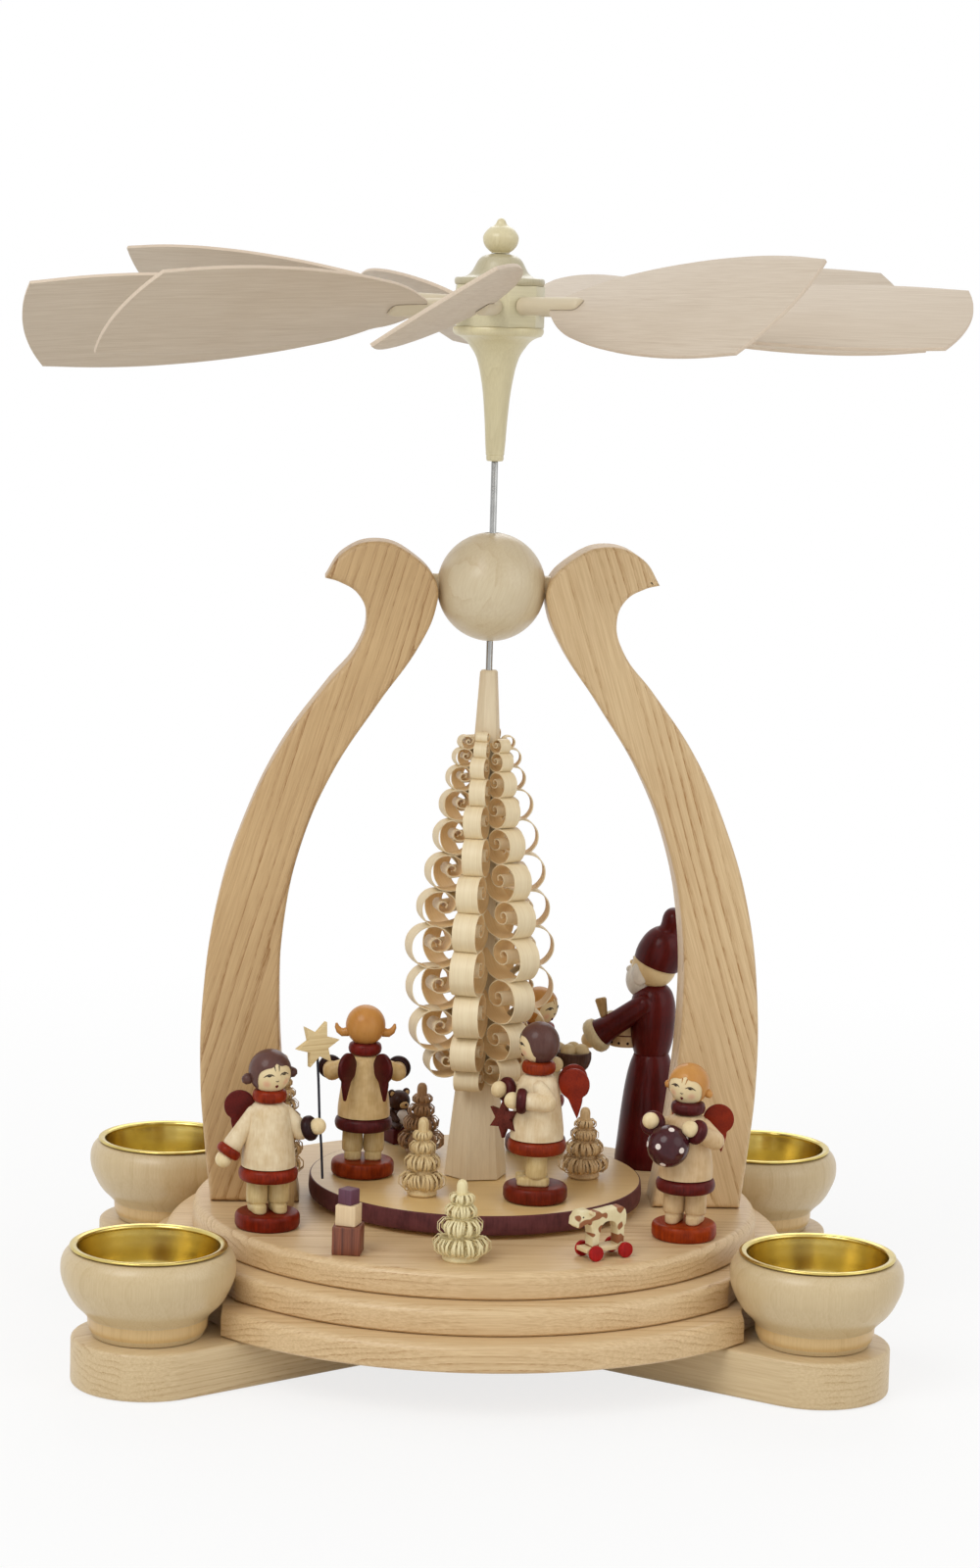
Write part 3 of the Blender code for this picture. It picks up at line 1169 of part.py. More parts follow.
def make_bear(rotor):
    """A seated toy bear on a block."""
    spot, turn = BEAR_SPOT
    size = (BEAR_BLOCK_SIZE, BEAR_BLOCK_SIZE, BEAR_BLOCK_HEIGHT)
    mesh = box_mesh("toy_bear", size, (0, 0, BEAR_BLOCK_HEIGHT * HALF_SHARE))
    bear = add_piece("toy_bear", mesh, "brown", rotor, (*spot, TURNTABLE_SEAT), (0, 0, turn))
    body_lift = BEAR_BLOCK_HEIGHT + BEAR_BODY_RADIUS - SINK
    head_lift = BEAR_HEIGHT - BEAR_HEAD_RADIUS
    meshes = [
        ball_mesh("bear_body", (BEAR_BODY_RADIUS,) * 3, (0, 0, body_lift)),
        ball_mesh("bear_head", (BEAR_HEAD_RADIUS,) * 3, (0, 0, head_lift)),
    ]
    for side in (-1, 1):
        place = (side * BEAR_HEAD_RADIUS, 0, head_lift + BEAR_HEAD_RADIUS * HALF_SHARE)
        meshes.append(ball_mesh(f"bear_ear_{side}", (BEAR_EAR_RADIUS,) * 3, place))
        place = (side * BEAR_FOOT_RADIUS, -BEAR_BODY_RADIUS, BEAR_BLOCK_HEIGHT + BEAR_FOOT_RADIUS * HALF_SHARE)
        meshes.append(ball_mesh(f"bear_foot_{side}", (BEAR_FOOT_RADIUS,) * 3, place))
    join(bear, [add_tool(mesh.name, mesh, parent=bear) for mesh in meshes])


clear_scene()
CAROUSEL = new_collection("candle_carousel")
TOOLS = new_collection("cutters", hidden=True)
BENCH = bpy.data.scenes.new("bench")

make_feet()
make_base()
make_cups()
make_arches()
make_ball()
wheel = add_empty("rotor", (0, 0, 0))
make_bearing_and_shaft(wheel)
make_turntable(wheel)
make_tree(wheel)
make_hub(wheel)
make_blades(wheel)
make_star_bearer()
make_turntable_angels(wheel)
make_ball_bearer()
make_gift_bringer()
make_chip_trees(wheel)
make_cubes()
make_cow()
make_bear(wheel)
bpy.data.scenes.remove(BENCH)
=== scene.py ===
"""The looks of a wooden candle carousel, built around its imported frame.

Metres, +Z up, in the frame of the CAD model. The sizes in the classes are millimetres, and one
factor turns them to metres where a mesh is made. Local coordinates, which the wood's grain follows,
are kept on every piece as the attribute "local", in millimetres.
"""

import contextlib
import enum
import logging
import math
import random
from dataclasses import dataclass, field, replace
from typing import Callable, Iterator, Sequence

import bpy
from mathutils import Matrix, Vector


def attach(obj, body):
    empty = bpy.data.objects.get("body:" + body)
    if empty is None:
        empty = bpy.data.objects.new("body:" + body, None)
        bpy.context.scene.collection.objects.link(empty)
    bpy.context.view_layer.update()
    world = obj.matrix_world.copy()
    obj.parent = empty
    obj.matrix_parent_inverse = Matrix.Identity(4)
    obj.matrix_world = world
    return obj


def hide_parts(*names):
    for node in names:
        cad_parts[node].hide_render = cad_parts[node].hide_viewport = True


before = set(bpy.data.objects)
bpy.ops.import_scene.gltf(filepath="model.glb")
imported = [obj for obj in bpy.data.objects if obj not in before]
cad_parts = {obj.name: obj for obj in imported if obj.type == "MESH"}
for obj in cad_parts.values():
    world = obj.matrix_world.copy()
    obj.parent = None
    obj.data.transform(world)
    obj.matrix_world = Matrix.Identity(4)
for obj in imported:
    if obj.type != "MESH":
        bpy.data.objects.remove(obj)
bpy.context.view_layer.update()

LOG = logging.getLogger("candle_carousel")
MM = 0.001
LOCAL = "local"
SHADER = "Principled BSDF"
# A wave texture of this scale repeats once in every unit of its coordinates, here millimetres.
ONE_WAVE = 0.314
Point = tuple[float, ...]
Tones = tuple[str, str]
Piece = bpy.types.Object
Material = bpy.types.Material
Tree = bpy.types.NodeTree


class Grain(enum.Enum):
    """The way that the fibres of a wooden piece run, as the turn that lays it along Z."""

    ALONG_X = (0.0, -90.0, 0.0)
    ALONG_Z = (0.0, 0.0, 0.0)


class Corner(enum.Enum):
    """How a drawn line passes one of its points."""

    SMOOTH = "AUTO"
    SHARP = "VECTOR"


# Colour and shader nodes


def linear(colour: str) -> tuple[float, float, float, float]:
    """Turns an sRGB hex colour to linear values.

    Args:
        colour: Six hex digits, red first.

    Returns:
        Red, green, blue and an alpha of 1.
    """
    parts = (int(colour[place:place + 2], 16) / 255 for place in (0, 2, 4))
    red, green, blue = (p / 12.92 if p <= 0.04045 else ((p + 0.055) / 1.055) ** 2.4 for p in parts)
    return red, green, blue, 1.0


def add_node(
    tree: Tree, kind: str, values: dict | None = None, links: dict | None = None, **settings: object
) -> bpy.types.Node:
    """Adds a shader node with its settings, values and links.

    Args:
        tree: The node tree that it goes into.
        kind: The node's type, without the ShaderNode that each type starts with.
        values: Input sockets by name or number, and what they are set to.
        links: Input sockets by name or number, and the output that feeds each; a node stands for its first.
        **settings: Properties of the node itself.

    Returns:
        The new node.
    """
    made = tree.nodes.new(f"ShaderNode{kind}")
    for name, setting in settings.items():
        setattr(made, name, setting)
    for socket, value in (values or {}).items():
        made.inputs[socket].default_value = value
    for socket, source in (links or {}).items():
        output = source.outputs[0] if isinstance(source, bpy.types.Node) else source
        tree.links.new(output, made.inputs[socket])
    return made


def new_material(name: str) -> tuple[Material, Tree]:
    """Starts a material.

    Args:
        name: The material's name.

    Returns:
        The material and its node tree.
    """
    material = bpy.data.materials.new(name)
    material.use_nodes = True
    return material, material.node_tree


def coat_with(
    tree: Tree, tones: Tones, share: bpy.types.Node, height: bpy.types.Node | bpy.types.NodeSocket, relief: Point,
    inputs: dict[str, float], invert: bool = False,
) -> None:
    """Gives a material's shader two mixed tones, a relief and its other inputs.

    Args:
        tree: The material's node tree.
        tones: The colours where the share is 0 and where it is 1.
        share: What mixes them.
        height: What the relief follows.
        relief: The relief's strength, and its depth in mm.
        inputs: The shader's other inputs and their values.
        invert: Whether the relief goes inwards.
    """
    shader = tree.nodes[SHADER]
    colour = add_node(tree, "Mix", {6: linear(tones[0]), 7: linear(tones[1])}, {0: share}, data_type="RGBA")
    strength, depth = relief
    bump = add_node(tree, "Bump", {"Strength": strength, "Distance": depth * MM}, {"Height": height}, invert=invert)
    tree.links.new(colour.outputs[2], shader.inputs["Base Color"])
    tree.links.new(bump.outputs[0], shader.inputs["Normal"])
    for name, value in inputs.items():
        shader.inputs[name].default_value = value


def paint_over(material: Material, mask: bpy.types.Node, colour: str) -> Material:
    """Paints one more colour over a material.

    Args:
        material: The material, whose colour comes from nodes.
        mask: Where the new colour covers, from 0 to 1.
        colour: The new colour.

    Returns:
        The same material.
    """
    tree = material.node_tree
    base = tree.nodes[SHADER].inputs["Base Color"]
    mixed = add_node(tree, "Mix", {7: linear(colour)}, {0: mask, 6: base.links[0].from_socket}, data_type="RGBA")
    tree.links.new(mixed.outputs[2], base)
    return material


@dataclass(frozen=True)
class Wood:
    """A wood with growth rings, fibres and pores, as its maker leaves it.

    Attributes:
        name: The material's name.
        pale: The colour between the rings.
        dark: The colour of the rings and pores.
        ring: The distance between rings, in mm.
        rings: How strongly the rings show, from 0 to 1.
        fibre: The width of the fibres, in mm.
        fibres: How strongly the fibres show.
        pores: How strongly the open pores show.
        roughness: The roughness of the surface.
        coat: The weight of the clear lacquer.
        relief: How deep the fibres stand, in mm.
    """

    name: str
    pale: str
    dark: str
    ring: float = 3.5
    rings: float = 0.3
    fibre: float = 0.6
    fibres: float = 0.3
    pores: float = 0.0
    roughness: float = 0.5
    coat: float = 0.0
    relief: float = 0.03

    def dress(self, grain: Grain = Grain.ALONG_Z, lean: float = 0.0, pith: Point = (17.0, 46.0, 0.0)) -> Material:
        """Makes the material for one way of the grain.

        Args:
            grain: The way of the fibres in local coordinates.
            lean: How far the fibres lean from it, in degrees, about Y.
            pith: The heart of the tree, in mm from the local origin.

        Returns:
            The material, the same one for the same arguments.
        """
        name = f"{self.name}_{grain.name.lower()}_{lean:g}_{pith[0]:g}_{pith[1]:g}"
        if name in bpy.data.materials:
            return bpy.data.materials[name]
        material, tree = new_material(name)
        turn = [math.radians(angle) for angle in grain.value]
        turn[1] -= math.radians(lean)
        place = add_node(tree, "Attribute", attribute_name=LOCAL)
        laid = add_node(tree, "Mapping", {"Rotation": turn, "Location": pith}, {0: place.outputs["Vector"]})
        # A trunk isn't straight: its rings wander over some 50 mm, and single rings differ over some 8 mm.
        grown = laid
        for scale, reach in (((0.02, 0.02, 0.004), 4.0), ((0.16, 0.16, 0.007), 1.6)):
            slow = add_node(tree, "Mapping", {"Scale": scale}, {0: laid})
            drift = add_node(tree, "TexNoise", {"Scale": 1.0, "Detail": 1.0}, {0: slow})
            grown = add_node(
                tree, "VectorMath", {1: (self.ring * reach,) * 3}, {0: drift.outputs["Color"], 2: grown},
                operation="MULTIPLY_ADD",
            )
        wave = add_node(
            tree, "TexWave", {"Scale": ONE_WAVE / self.ring, "Distortion": 0.6, "Detail Scale": 0.4}, {0: grown},
            wave_type="RINGS", rings_direction="Z", wave_profile="SAW",
        )
        # Each ring starts with a sharp dark line and fades outwards.
        late = add_node(tree, "Math", {0: 1.0}, {1: wave.outputs["Fac"]}, operation="SUBTRACT")
        line = add_node(tree, "Math", {1: 4.0}, {0: late}, operation="POWER")
        # Dry and wet years leave weak and strong lines side by side.
        year = add_node(tree, "MapRange", {1: 0.38, 2: 0.62, 3: 0.15, 4: 1.25}, {0: drift})
        ring = add_node(tree, "Math", links={0: line, 1: year}, operation="MULTIPLY")
        fine = add_node(tree, "Mapping", {"Scale": (1.0, 1.0, 0.025)}, {0: laid})
        strand = add_node(tree, "TexNoise", {"Scale": 1 / self.fibre, "Detail": 3.0, "Roughness": 0.6}, {0: fine})
        fibre = add_node(tree, "MapRange", {1: 0.35, 2: 0.7, 4: self.fibres}, {0: strand})
        total = add_node(tree, "Math", {1: self.rings}, {0: ring, 2: fibre}, operation="MULTIPLY_ADD")
        if self.pores:
            dash = add_node(tree, "Mapping", {"Scale": (1.0, 1.0, 0.07)}, {0: laid})
            speck = add_node(tree, "TexNoise", {"Scale": 1.9 / self.fibre, "Detail": 1.0}, {0: dash})
            pore = add_node(tree, "MapRange", {1: 0.52, 2: 0.62, 4: self.pores}, {0: speck})
            total = add_node(tree, "Math", links={0: pore, 1: ring, 2: total}, operation="MULTIPLY_ADD")
        # Boards and turnings differ in tone over some 40 mm, besides their rings.
        cloud = add_node(tree, "TexNoise", {"Scale": 0.025, "Detail": 1.0}, {0: laid})
        tone = add_node(tree, "MapRange", {1: 0.3, 2: 0.7, 4: 0.14}, {0: cloud})
        mixed = add_node(tree, "Math", links={0: total, 1: tone}, operation="ADD", use_clamp=True)
        inputs = {"Roughness": self.roughness, "Coat Weight": self.coat, "Coat Roughness": 0.25}
        coat_with(tree, (self.pale, self.dark), mixed, strand, (0.5, self.relief), inputs, invert=True)
        return material


@dataclass(frozen=True)
class Paint:
    """A lacquer or stain on turned wood, a little uneven, and darker where it gathers.

    Attributes:
        name: The material's name.
        colour: The colour where it is thin.
        deep: The colour where it gathers.
        roughness: The roughness of the coat.
        coat: The weight of the clear lacquer over it.
        grain: How much of the wood's fibres shows through.
        patch: The size of its uneven places, in mm.
    """

    name: str
    colour: str
    deep: str
    roughness: float = 0.4
    coat: float = 0.06
    grain: float = 0.3
    patch: float = 4.0

    def dress(self) -> Material:
        """Makes the material once.

        Returns:
            The material.
        """
        if self.name in bpy.data.materials:
            return bpy.data.materials[self.name]
        material, tree = new_material(self.name)
        place = add_node(tree, "Attribute", attribute_name=LOCAL).outputs["Vector"]
        thin = add_node(tree, "Mapping", {"Scale": (1.0, 1.0, 0.1)}, {0: place})
        strand = add_node(tree, "TexNoise", {"Scale": 1.6, "Detail": 3.0, "Roughness": 0.6}, {0: thin})
        cloud = add_node(tree, "TexNoise", {"Scale": 1 / self.patch, "Detail": 2.0}, {0: place})
        streak = add_node(tree, "MapRange", {1: 0.35, 2: 0.7, 4: self.grain}, {0: strand})
        pool = add_node(tree, "MapRange", {1: 0.35, 2: 0.7, 4: 0.6}, {0: cloud})
        share = add_node(tree, "Math", links={0: streak, 1: pool}, operation="ADD", use_clamp=True)
        inputs = {
            "Roughness": self.roughness, "Specular IOR Level": 0.1, "Coat Weight": self.coat, "Coat Roughness": 0.12,
        }
        # Brushed lacquer levels out to ripples of about 0.02 mm.
        coat_with(tree, (self.colour, self.deep), share, strand, (0.4, 0.02), inputs)
        return material


@dataclass(frozen=True)
class Metal:
    """A bare metal with the fine rings or lines of its making.

    Attributes:
        name: The material's name.
        colour: The colour that it reflects.
        dull: The colour where it has dulled.
        roughness: The roughness between its lines.
        line: The distance between its fine lines, in mm.
    """

    name: str
    colour: str
    dull: str
    roughness: float = 0.2
    line: float = 0.5

    def dress(self) -> Material:
        """Makes the material once.

        Returns:
            The material.
        """
        if self.name in bpy.data.materials:
            return bpy.data.materials[self.name]
        material, tree = new_material(self.name)
        place = add_node(tree, "Attribute", attribute_name=LOCAL).outputs["Vector"]
        rings = add_node(
            tree, "TexWave", {"Scale": ONE_WAVE / self.line, "Distortion": 1.5}, {0: place}, wave_type="RINGS",
            rings_direction="Z",
        )
        cloud = add_node(tree, "TexNoise", {"Scale": 0.15, "Detail": 3.0}, {0: place})
        haze = add_node(tree, "MapRange", {1: 0.4, 2: 0.7, 4: 0.5}, {0: cloud})
        rough = add_node(tree, "Math", {1: 0.12, 2: self.roughness}, {0: haze}, operation="MULTIPLY_ADD")
        # Polishing leaves rings of a few hundredths of a millimetre; they are drawn wider so that they show.
        relief = (0.25, 0.01)
        coat_with(tree, (self.colour, self.dull), haze, rings.outputs["Fac"], relief, {"Metallic": 1.0})
        tree.links.new(rough.outputs[0], tree.nodes[SHADER].inputs["Roughness"])
        return material


# Oiled ash: open pores in dark lines along pale boards, so it reads as uneven stripes 2 to 4 mm apart.
ASH = Wood(
    "ash_oiled", "e0c497", "a67a44", ring=3.4, rings=0.42, fibre=0.5, fibres=0.36, pores=0.6, roughness=0.46,
    coat=0.12, relief=0.06,
)
# The left arch is painted darker, as painted shade, because the light falls brighter on the right; the feet come from
# a greyer board.
ASH_PAINTED_SHADE = replace(ASH, name="ash_oiled_dark", pale="cfae7e", dark="966c3a")
ASH_GREY = replace(ASH, name="ash_oiled_grey", pale="dac49b", dark="ae8b5c", ring=2.2, rings=0.32, pores=0.4)
# The plates are sawn flat, so the rings run as fine lines along their rims.
ASH_FLAT = replace(ASH, name="ash_flat_sawn", ring=1.9, rings=0.34, pores=0.35)
# Lacquered linden: almost no figure, a soft sheen and a warm cream tone.
LINDEN = Wood(
    "linden_lacquered", "d2bd95", "b49663", ring=4.5, rings=0.22, fibre=0.5, fibres=0.26, roughness=0.38, coat=0.25,
)
# The low band of a cup, under the overhang of its belly, is painted darker and warmer as painted shade.
LINDEN_PAINTED_SHADE = Wood(
    "linden_end_grain", "d9ba83", "bb9560", ring=3.0, rings=0.25, fibre=0.5, fibres=0.3, roughness=0.42, coat=0.25,
)
# A paler, less yellow piece of the same wood for the ball.
LINDEN_PALE = replace(LINDEN, name="linden_pale", pale="d9caaa", dark="bca176", ring=3.4)
# Linden plywood: its face is a veneer, flat and tan, with hardly a ring.
PLYWOOD = replace(LINDEN, name="linden_plywood", pale="dbbb80", dark="b98f52")
# Lacquered maple: paler and yellower, very even.
MAPLE = Wood(
    "maple_lacquered", "ddd2ab", "bfb084", ring=4.0, rings=0.2, fibre=0.5, fibres=0.26, roughness=0.36, coat=0.25,
)
# The block shows maple's side grain, and the cap is greyer where it is handled.
MAPLE_BLOCK = replace(MAPLE, name="maple_side_grain", pale="d4cba8", dark="b9ad86")
MAPLE_CAP = replace(MAPLE, name="maple_handled", pale="bdb394", dark="a09672")
# The pegs are bare and take the greyer tone of the blades.
MAPLE_PEG = replace(MAPLE, name="maple_peg", pale="d3c5a9", dark="b3a283", coat=0.0, roughness=0.55)
# Bare peeled birch: greyish, with fine soft fibres and hardly a ring.
BIRCH = Wood(
    "birch_veneer", "d2c4b1", "b39f87", ring=2.6, rings=0.16, fibre=0.34, fibres=0.42, roughness=0.62, relief=0.03,
)
# A cut edge of it catches the light and looks a little paler and pinker.
BIRCH_EDGE = Wood("birch_edge", "dccbb6", "c6ae96", ring=1.2, rings=0.2, fibre=0.4, fibres=0.3, roughness=0.6)
# Linden shaved with a chisel: the blade leaves its outer side smooth, silky and cream.
SHAVING = Wood(
    "linden_shaving", "ecdcb9", "d0b484", ring=2.2, rings=0.12, fibre=0.4, fibres=0.35, roughness=0.5, relief=0.03,
)
# Its inner side is torn and holds the light between the turns, so it glows warm.
SHAVING_INNER = replace(SHAVING, name="linden_shaving_inner", pale="f2d4a0", dark="d6aa6e", roughness=0.6)
# The trunk under them is planed and bare.
TRUNK = Wood("linden_trunk", "e4d3b3", "c0a57e", ring=3.2, rings=0.25, fibre=0.5, fibres=0.22, roughness=0.55)
# Spun brass, thinly gilded: pale yellow, with fine rings from the lathe that stretch its highlights.
BRASS = Metal("brass_spun", "d2bd72", "ab9149", roughness=0.18)
# Drawn steel: grey and plain, with a narrow highlight along the rod.
STEEL = Metal("steel_drawn", "a8a8a6", "858583", roughness=0.24)
# Plum stain on the rim, matt because the plies drink it.
RIM_STAIN = Paint("plum_rim_stain", "693a3b", "4f2a2c", roughness=0.5, coat=0.03, grain=0.5)
# Near-black lacquer in small dots: the drum's studs and the toys' eyes, noses and axles.
STUD = Paint("lacquer_stud", "2c1c1c", "1c1010")


# Modelling, as by hand


def deselect() -> None:
    """Leaves edit mode and selects nothing."""
    if bpy.context.object and bpy.context.object.mode != "OBJECT":
        bpy.ops.object.mode_set(mode="OBJECT")
    bpy.ops.object.select_all(action="DESELECT")


def take(obj: Piece) -> None:
    """Selects one object alone and makes it the active one."""
    deselect()
    obj.select_set(True)
    bpy.context.view_layer.objects.active = obj


@contextlib.contextmanager
def editing(obj: Piece) -> Iterator[None]:
    """Opens a mesh in edit mode with all of it selected, and leaves that mode at the end.

    Args:
        obj: The mesh object.

    Yields:
        Nothing; the operators work on the object meanwhile.
    """
    take(obj)
    bpy.ops.object.mode_set(mode="EDIT")
    bpy.ops.mesh.select_all(action="SELECT")
    yield
    bpy.ops.object.mode_set(mode="OBJECT")


def modified(obj: Piece, kind: str, **settings: object) -> Piece:
    """Adds a modifier to an object and applies it.

    Args:
        obj: The object.
        kind: The modifier's type.
        **settings: The modifier's settings.

    Returns:
        The same object.
    """
    take(obj)
    modifier = obj.modifiers.new(kind.title(), kind)
    for name, setting in settings.items():
        setattr(modifier, name, setting)
    bpy.ops.object.modifier_apply(modifier=modifier.name)
    return obj


def discard(*pieces: Piece) -> None:
    """Removes models and tools that are no longer needed."""
    for piece in pieces:
        bpy.data.objects.remove(piece, do_unlink=True)


def tidy_mesh(obj: Piece, distance: float = 0.01) -> Piece:
    """Merges the doubles of a mesh and turns its faces outwards.

    Args:
        obj: The mesh object.
        distance: How near two points are one, in mm.

    Returns:
        The same object.
    """
    with editing(obj):
        bpy.ops.mesh.remove_doubles(threshold=distance * MM)
        bpy.ops.mesh.normals_make_consistent(inside=False)
    return obj


def shade(obj: Piece, angle: float) -> Piece:
    """Shades an object smooth up to an angle between faces, in degrees."""
    take(obj)
    bpy.ops.object.shade_smooth_by_angle(angle=math.radians(angle))
    return obj


def two_toned(obj: Piece, material: Material, inside: Callable[[bpy.types.MeshPolygon], bool]) -> Piece:
    """Gives some faces of an object a second material.

    Args:
        obj: The mesh object, which has one material.
        material: The second one.
        inside: Tells whether a face gets it.

    Returns:
        The same object.
    """
    obj.data.materials.append(material)
    for face in obj.data.polygons:
        face.material_index = int(inside(face))
    return obj


def finish(obj: Piece, material: Material, angle: float = 40.0) -> Piece:
    """Keeps a piece's local coordinates on it, shades it and gives it its material.

    Args:
        obj: The mesh object, still at its own origin.
        material: The material for all its faces.
        angle: The sharpest angle between faces that is still smooth, in degrees.

    Returns:
        The same object.
    """
    keep_local(obj)
    shade(obj, angle)
    obj.data.materials.clear()
    obj.data.materials.append(material)
    return obj


def keep_local(obj: Piece) -> None:
    """Writes the vertices' places, in mm, to the attribute that the materials read."""
    kept = obj.data.attributes.get(LOCAL) or obj.data.attributes.new(LOCAL, "FLOAT_VECTOR", "POINT")
    for vertex, value in zip(obj.data.vertices, kept.data):
        value.vector = vertex.co / MM


def drawn_line(name: str, points: Sequence[Point], closed: bool, steps: int) -> Piece:
    """Draws a curve through points in its XY plane.

    Args:
        name: The object's name.
        points: X and Y in mm, with a third value where the line has a corner.
        closed: Whether it runs back to its start.
        steps: The steps between two points.

    Returns:
        The curve object.
    """
    deselect()
    bpy.ops.curve.primitive_bezier_curve_add(location=(0, 0, 0))
    line = bpy.context.object
    line.name = name
    curve = line.data
    curve.dimensions = "2D"
    curve.resolution_u = steps
    curve.splines.clear()
    spline = curve.splines.new("BEZIER")
    spline.bezier_points.add(len(points) - 1)
    spline.use_cyclic_u = closed
    for knot, point in zip(spline.bezier_points, points):
        corner = Corner.SHARP if len(point) > 2 else Corner.SMOOTH
        knot.co = (point[0] * MM, point[1] * MM, 0.0)
        knot.handle_left_type = knot.handle_right_type = corner.value
    return line


def turned(name: str, profile: Sequence[Point], material: Material, sides: int = 96, steps: int = 6) -> Piece:
    """Turns a profile on the lathe, about Z.

    Args:
        name: The piece's name.
        profile: Radius and height in mm, with a third value where it has a corner.
        material: The material for all of it.
        sides: The steps round the axis.
        steps: The steps between two points of the profile.

    Returns:
        The turned piece.
    """
    line = drawn_line(name, profile, profile[0][0] > 0, steps)
    line.data.fill_mode = "NONE"
    take(line)
    bpy.ops.object.convert(target="MESH")
    piece = bpy.context.object
    with editing(piece):
        bpy.ops.transform.rotate(value=-math.pi / 2, orient_axis="X", center_override=(0, 0, 0))
    if piece.data.vertices[0].co.z * profile[0][1] < 0:
        raise ValueError(f"{name}: the profile stands upside down")
    with editing(piece):
        bpy.ops.mesh.spin(steps=sides, angle=2 * math.pi, center=(0, 0, 0), axis=(0, 0, 1))
    return finish(tidy_mesh(piece), material)


def sawn(
    name: str, outline: Sequence[Point], thickness: float, material: Material, edge: float = 0.3,
    steps: int = 6, round_steps: int = 2,
) -> Piece:
    """Saws a flat form from a board in the XY plane and rounds its edges.

    Args:
        name: The piece's name.
        outline: X and Y in mm, with a third value where it has a corner.
        thickness: The board's thickness in mm.
        material: The material for all of it.
        edge: The radius of its edges in mm.
        steps: The steps between two points of the outline.
        round_steps: The steps of the rounding.

    Returns:
        The sawn piece, its middle plane on XY.
    """
    line = drawn_line(name, outline, True, steps)
    line.data.fill_mode = "BOTH"
    line.data.extrude = (thickness / 2 - edge) * MM
    line.data.bevel_depth = edge * MM
    line.data.bevel_resolution = round_steps
    line.data.offset = -edge * MM
    take(line)
    bpy.ops.object.convert(target="MESH")
    return finish(tidy_mesh(bpy.context.object), material)


def ball(name: str, radii: Point, centre: Point, material: Material, sides: int = 32, rings: int = 20) -> Piece:
    """Models a ball or an egg.

    Args:
        name: The piece's name.
        radii: Its three half sizes in mm.
        centre: Its centre in mm.
        material: The material for all of it.
        sides: The faces round it.
        rings: The faces from pole to pole.

    Returns:
        The ball.
    """
    deselect()
    bpy.ops.mesh.primitive_uv_sphere_add(segments=sides, ring_count=rings, radius=MM, location=(0, 0, 0))
    piece = bpy.context.object
    piece.name = name
    with editing(piece):
        bpy.ops.transform.resize(value=radii, center_override=(0, 0, 0))
        bpy.ops.transform.translate(value=Vector(centre) * MM)
    return finish(piece, material)


def rod(
    name: str, points: Sequence[Point], radii: Sequence[float], material: Material, sides: int = 3,
) -> Piece:
    """Draws a round rod along points, with its ends closed.

    Args:
        name: The piece's name.
        points: The places along it in mm.
        radii: The radius at each place in mm.
        material: The material for all of it.
        sides: The rounding of its cross-section.

    Returns:
        The rod.
    """
    deselect()
    bpy.ops.curve.primitive_nurbs_path_add(location=(0, 0, 0))
    line = bpy.context.object
    line.name = name
    curve = line.data
    curve.splines.clear()
    spline = curve.splines.new("POLY")
    spline.points.add(len(points) - 1)
    for knot, place, radius in zip(spline.points, points, radii):
        knot.co = (*(Vector(place) * MM), 1.0)
        knot.radius = radius / max(radii)
    curve.bevel_depth = max(radii) * MM
    curve.bevel_resolution = sides
    curve.use_fill_caps = True
    bpy.ops.object.convert(target="MESH")
    return finish(tidy_mesh(bpy.context.object, 0.001), material)


def block(name: str, size: Point, centre: Point, material: Material, edge: float = 0.3) -> Piece:
    """Models a block with rounded edges.

    Args:
        name: The piece's name.
        size: Its three sizes in mm.
        centre: Its centre in mm.
        material: The material for all of it.
        edge: The radius of its edges in mm.

    Returns:
        The block.
    """
    deselect()
    bpy.ops.mesh.primitive_cube_add(size=MM, location=(0, 0, 0))
    piece = bpy.context.object
    piece.name = name
    with editing(piece):
        bpy.ops.transform.resize(value=size, center_override=(0, 0, 0))
        bpy.ops.mesh.bevel(offset=edge * MM, segments=3)
        bpy.ops.transform.translate(value=Vector(centre) * MM)
    return finish(piece, material)


def cut(piece: Piece, tool: Piece) -> Piece:
    """Cuts a tool's form out of a piece and removes the tool.

    Args:
        piece: What is cut.
        tool: A closed form.

    Returns:
        The cut piece.
    """
    modified(piece, "BOOLEAN", operation="DIFFERENCE", object=tool)
    discard(tool)
    return piece


def copy_of(piece: Piece, name: str) -> Piece:
    """Copies a piece with its own mesh."""
    made = piece.copy()
    made.data = piece.data.copy()
    made.name = name
    bpy.context.scene.collection.objects.link(made)
    return made


def joined(name: str, parts: Sequence[Piece]) -> Piece:
    """Joins parts into one piece.

    Args:
        name: The piece's name.
        parts: The parts; the first one takes the others in.

    Returns:
        The piece.
    """
    deselect()
    for part in parts:
        part.select_set(True)
    bpy.context.view_layer.objects.active = parts[0]
    if len(parts) > 1:
        bpy.ops.object.join()
    parts[0].name = name
    return parts[0]


def set_down(piece: Piece, place: Point = (0, 0, 0), turn: Point = (0, 0, 0), size: Point = (1, 1, 1)) -> Piece:
    """Moves a piece to its place and leaves its object at the origin, unturned.

    Args:
        piece: The piece.
        place: Its place in mm.
        turn: Its turns about X, Y and Z in degrees, in that order.
        size: What its sizes are multiplied by.

    Returns:
        The piece.
    """
    piece.location = Vector(place) * MM
    piece.rotation_euler = [math.radians(angle) for angle in turn]
    piece.scale = size
    take(piece)
    bpy.ops.object.transform_apply(location=True, rotation=True, scale=True)
    return piece


def stand_for(piece: Piece, body: str, slot: str, *nodes: str) -> None:
    """Lets a piece ride on a body in place of CAD nodes.

    Args:
        piece: The finished piece.
        body: The body that it moves with.
        slot: The record's material slot; it is not used.
        *nodes: The nodes that it replaces.
    """
    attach(piece, body)
    if nodes:
        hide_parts(*nodes)
    LOG.info("%s: %d faces on %s", piece.name, len(piece.data.polygons), body)


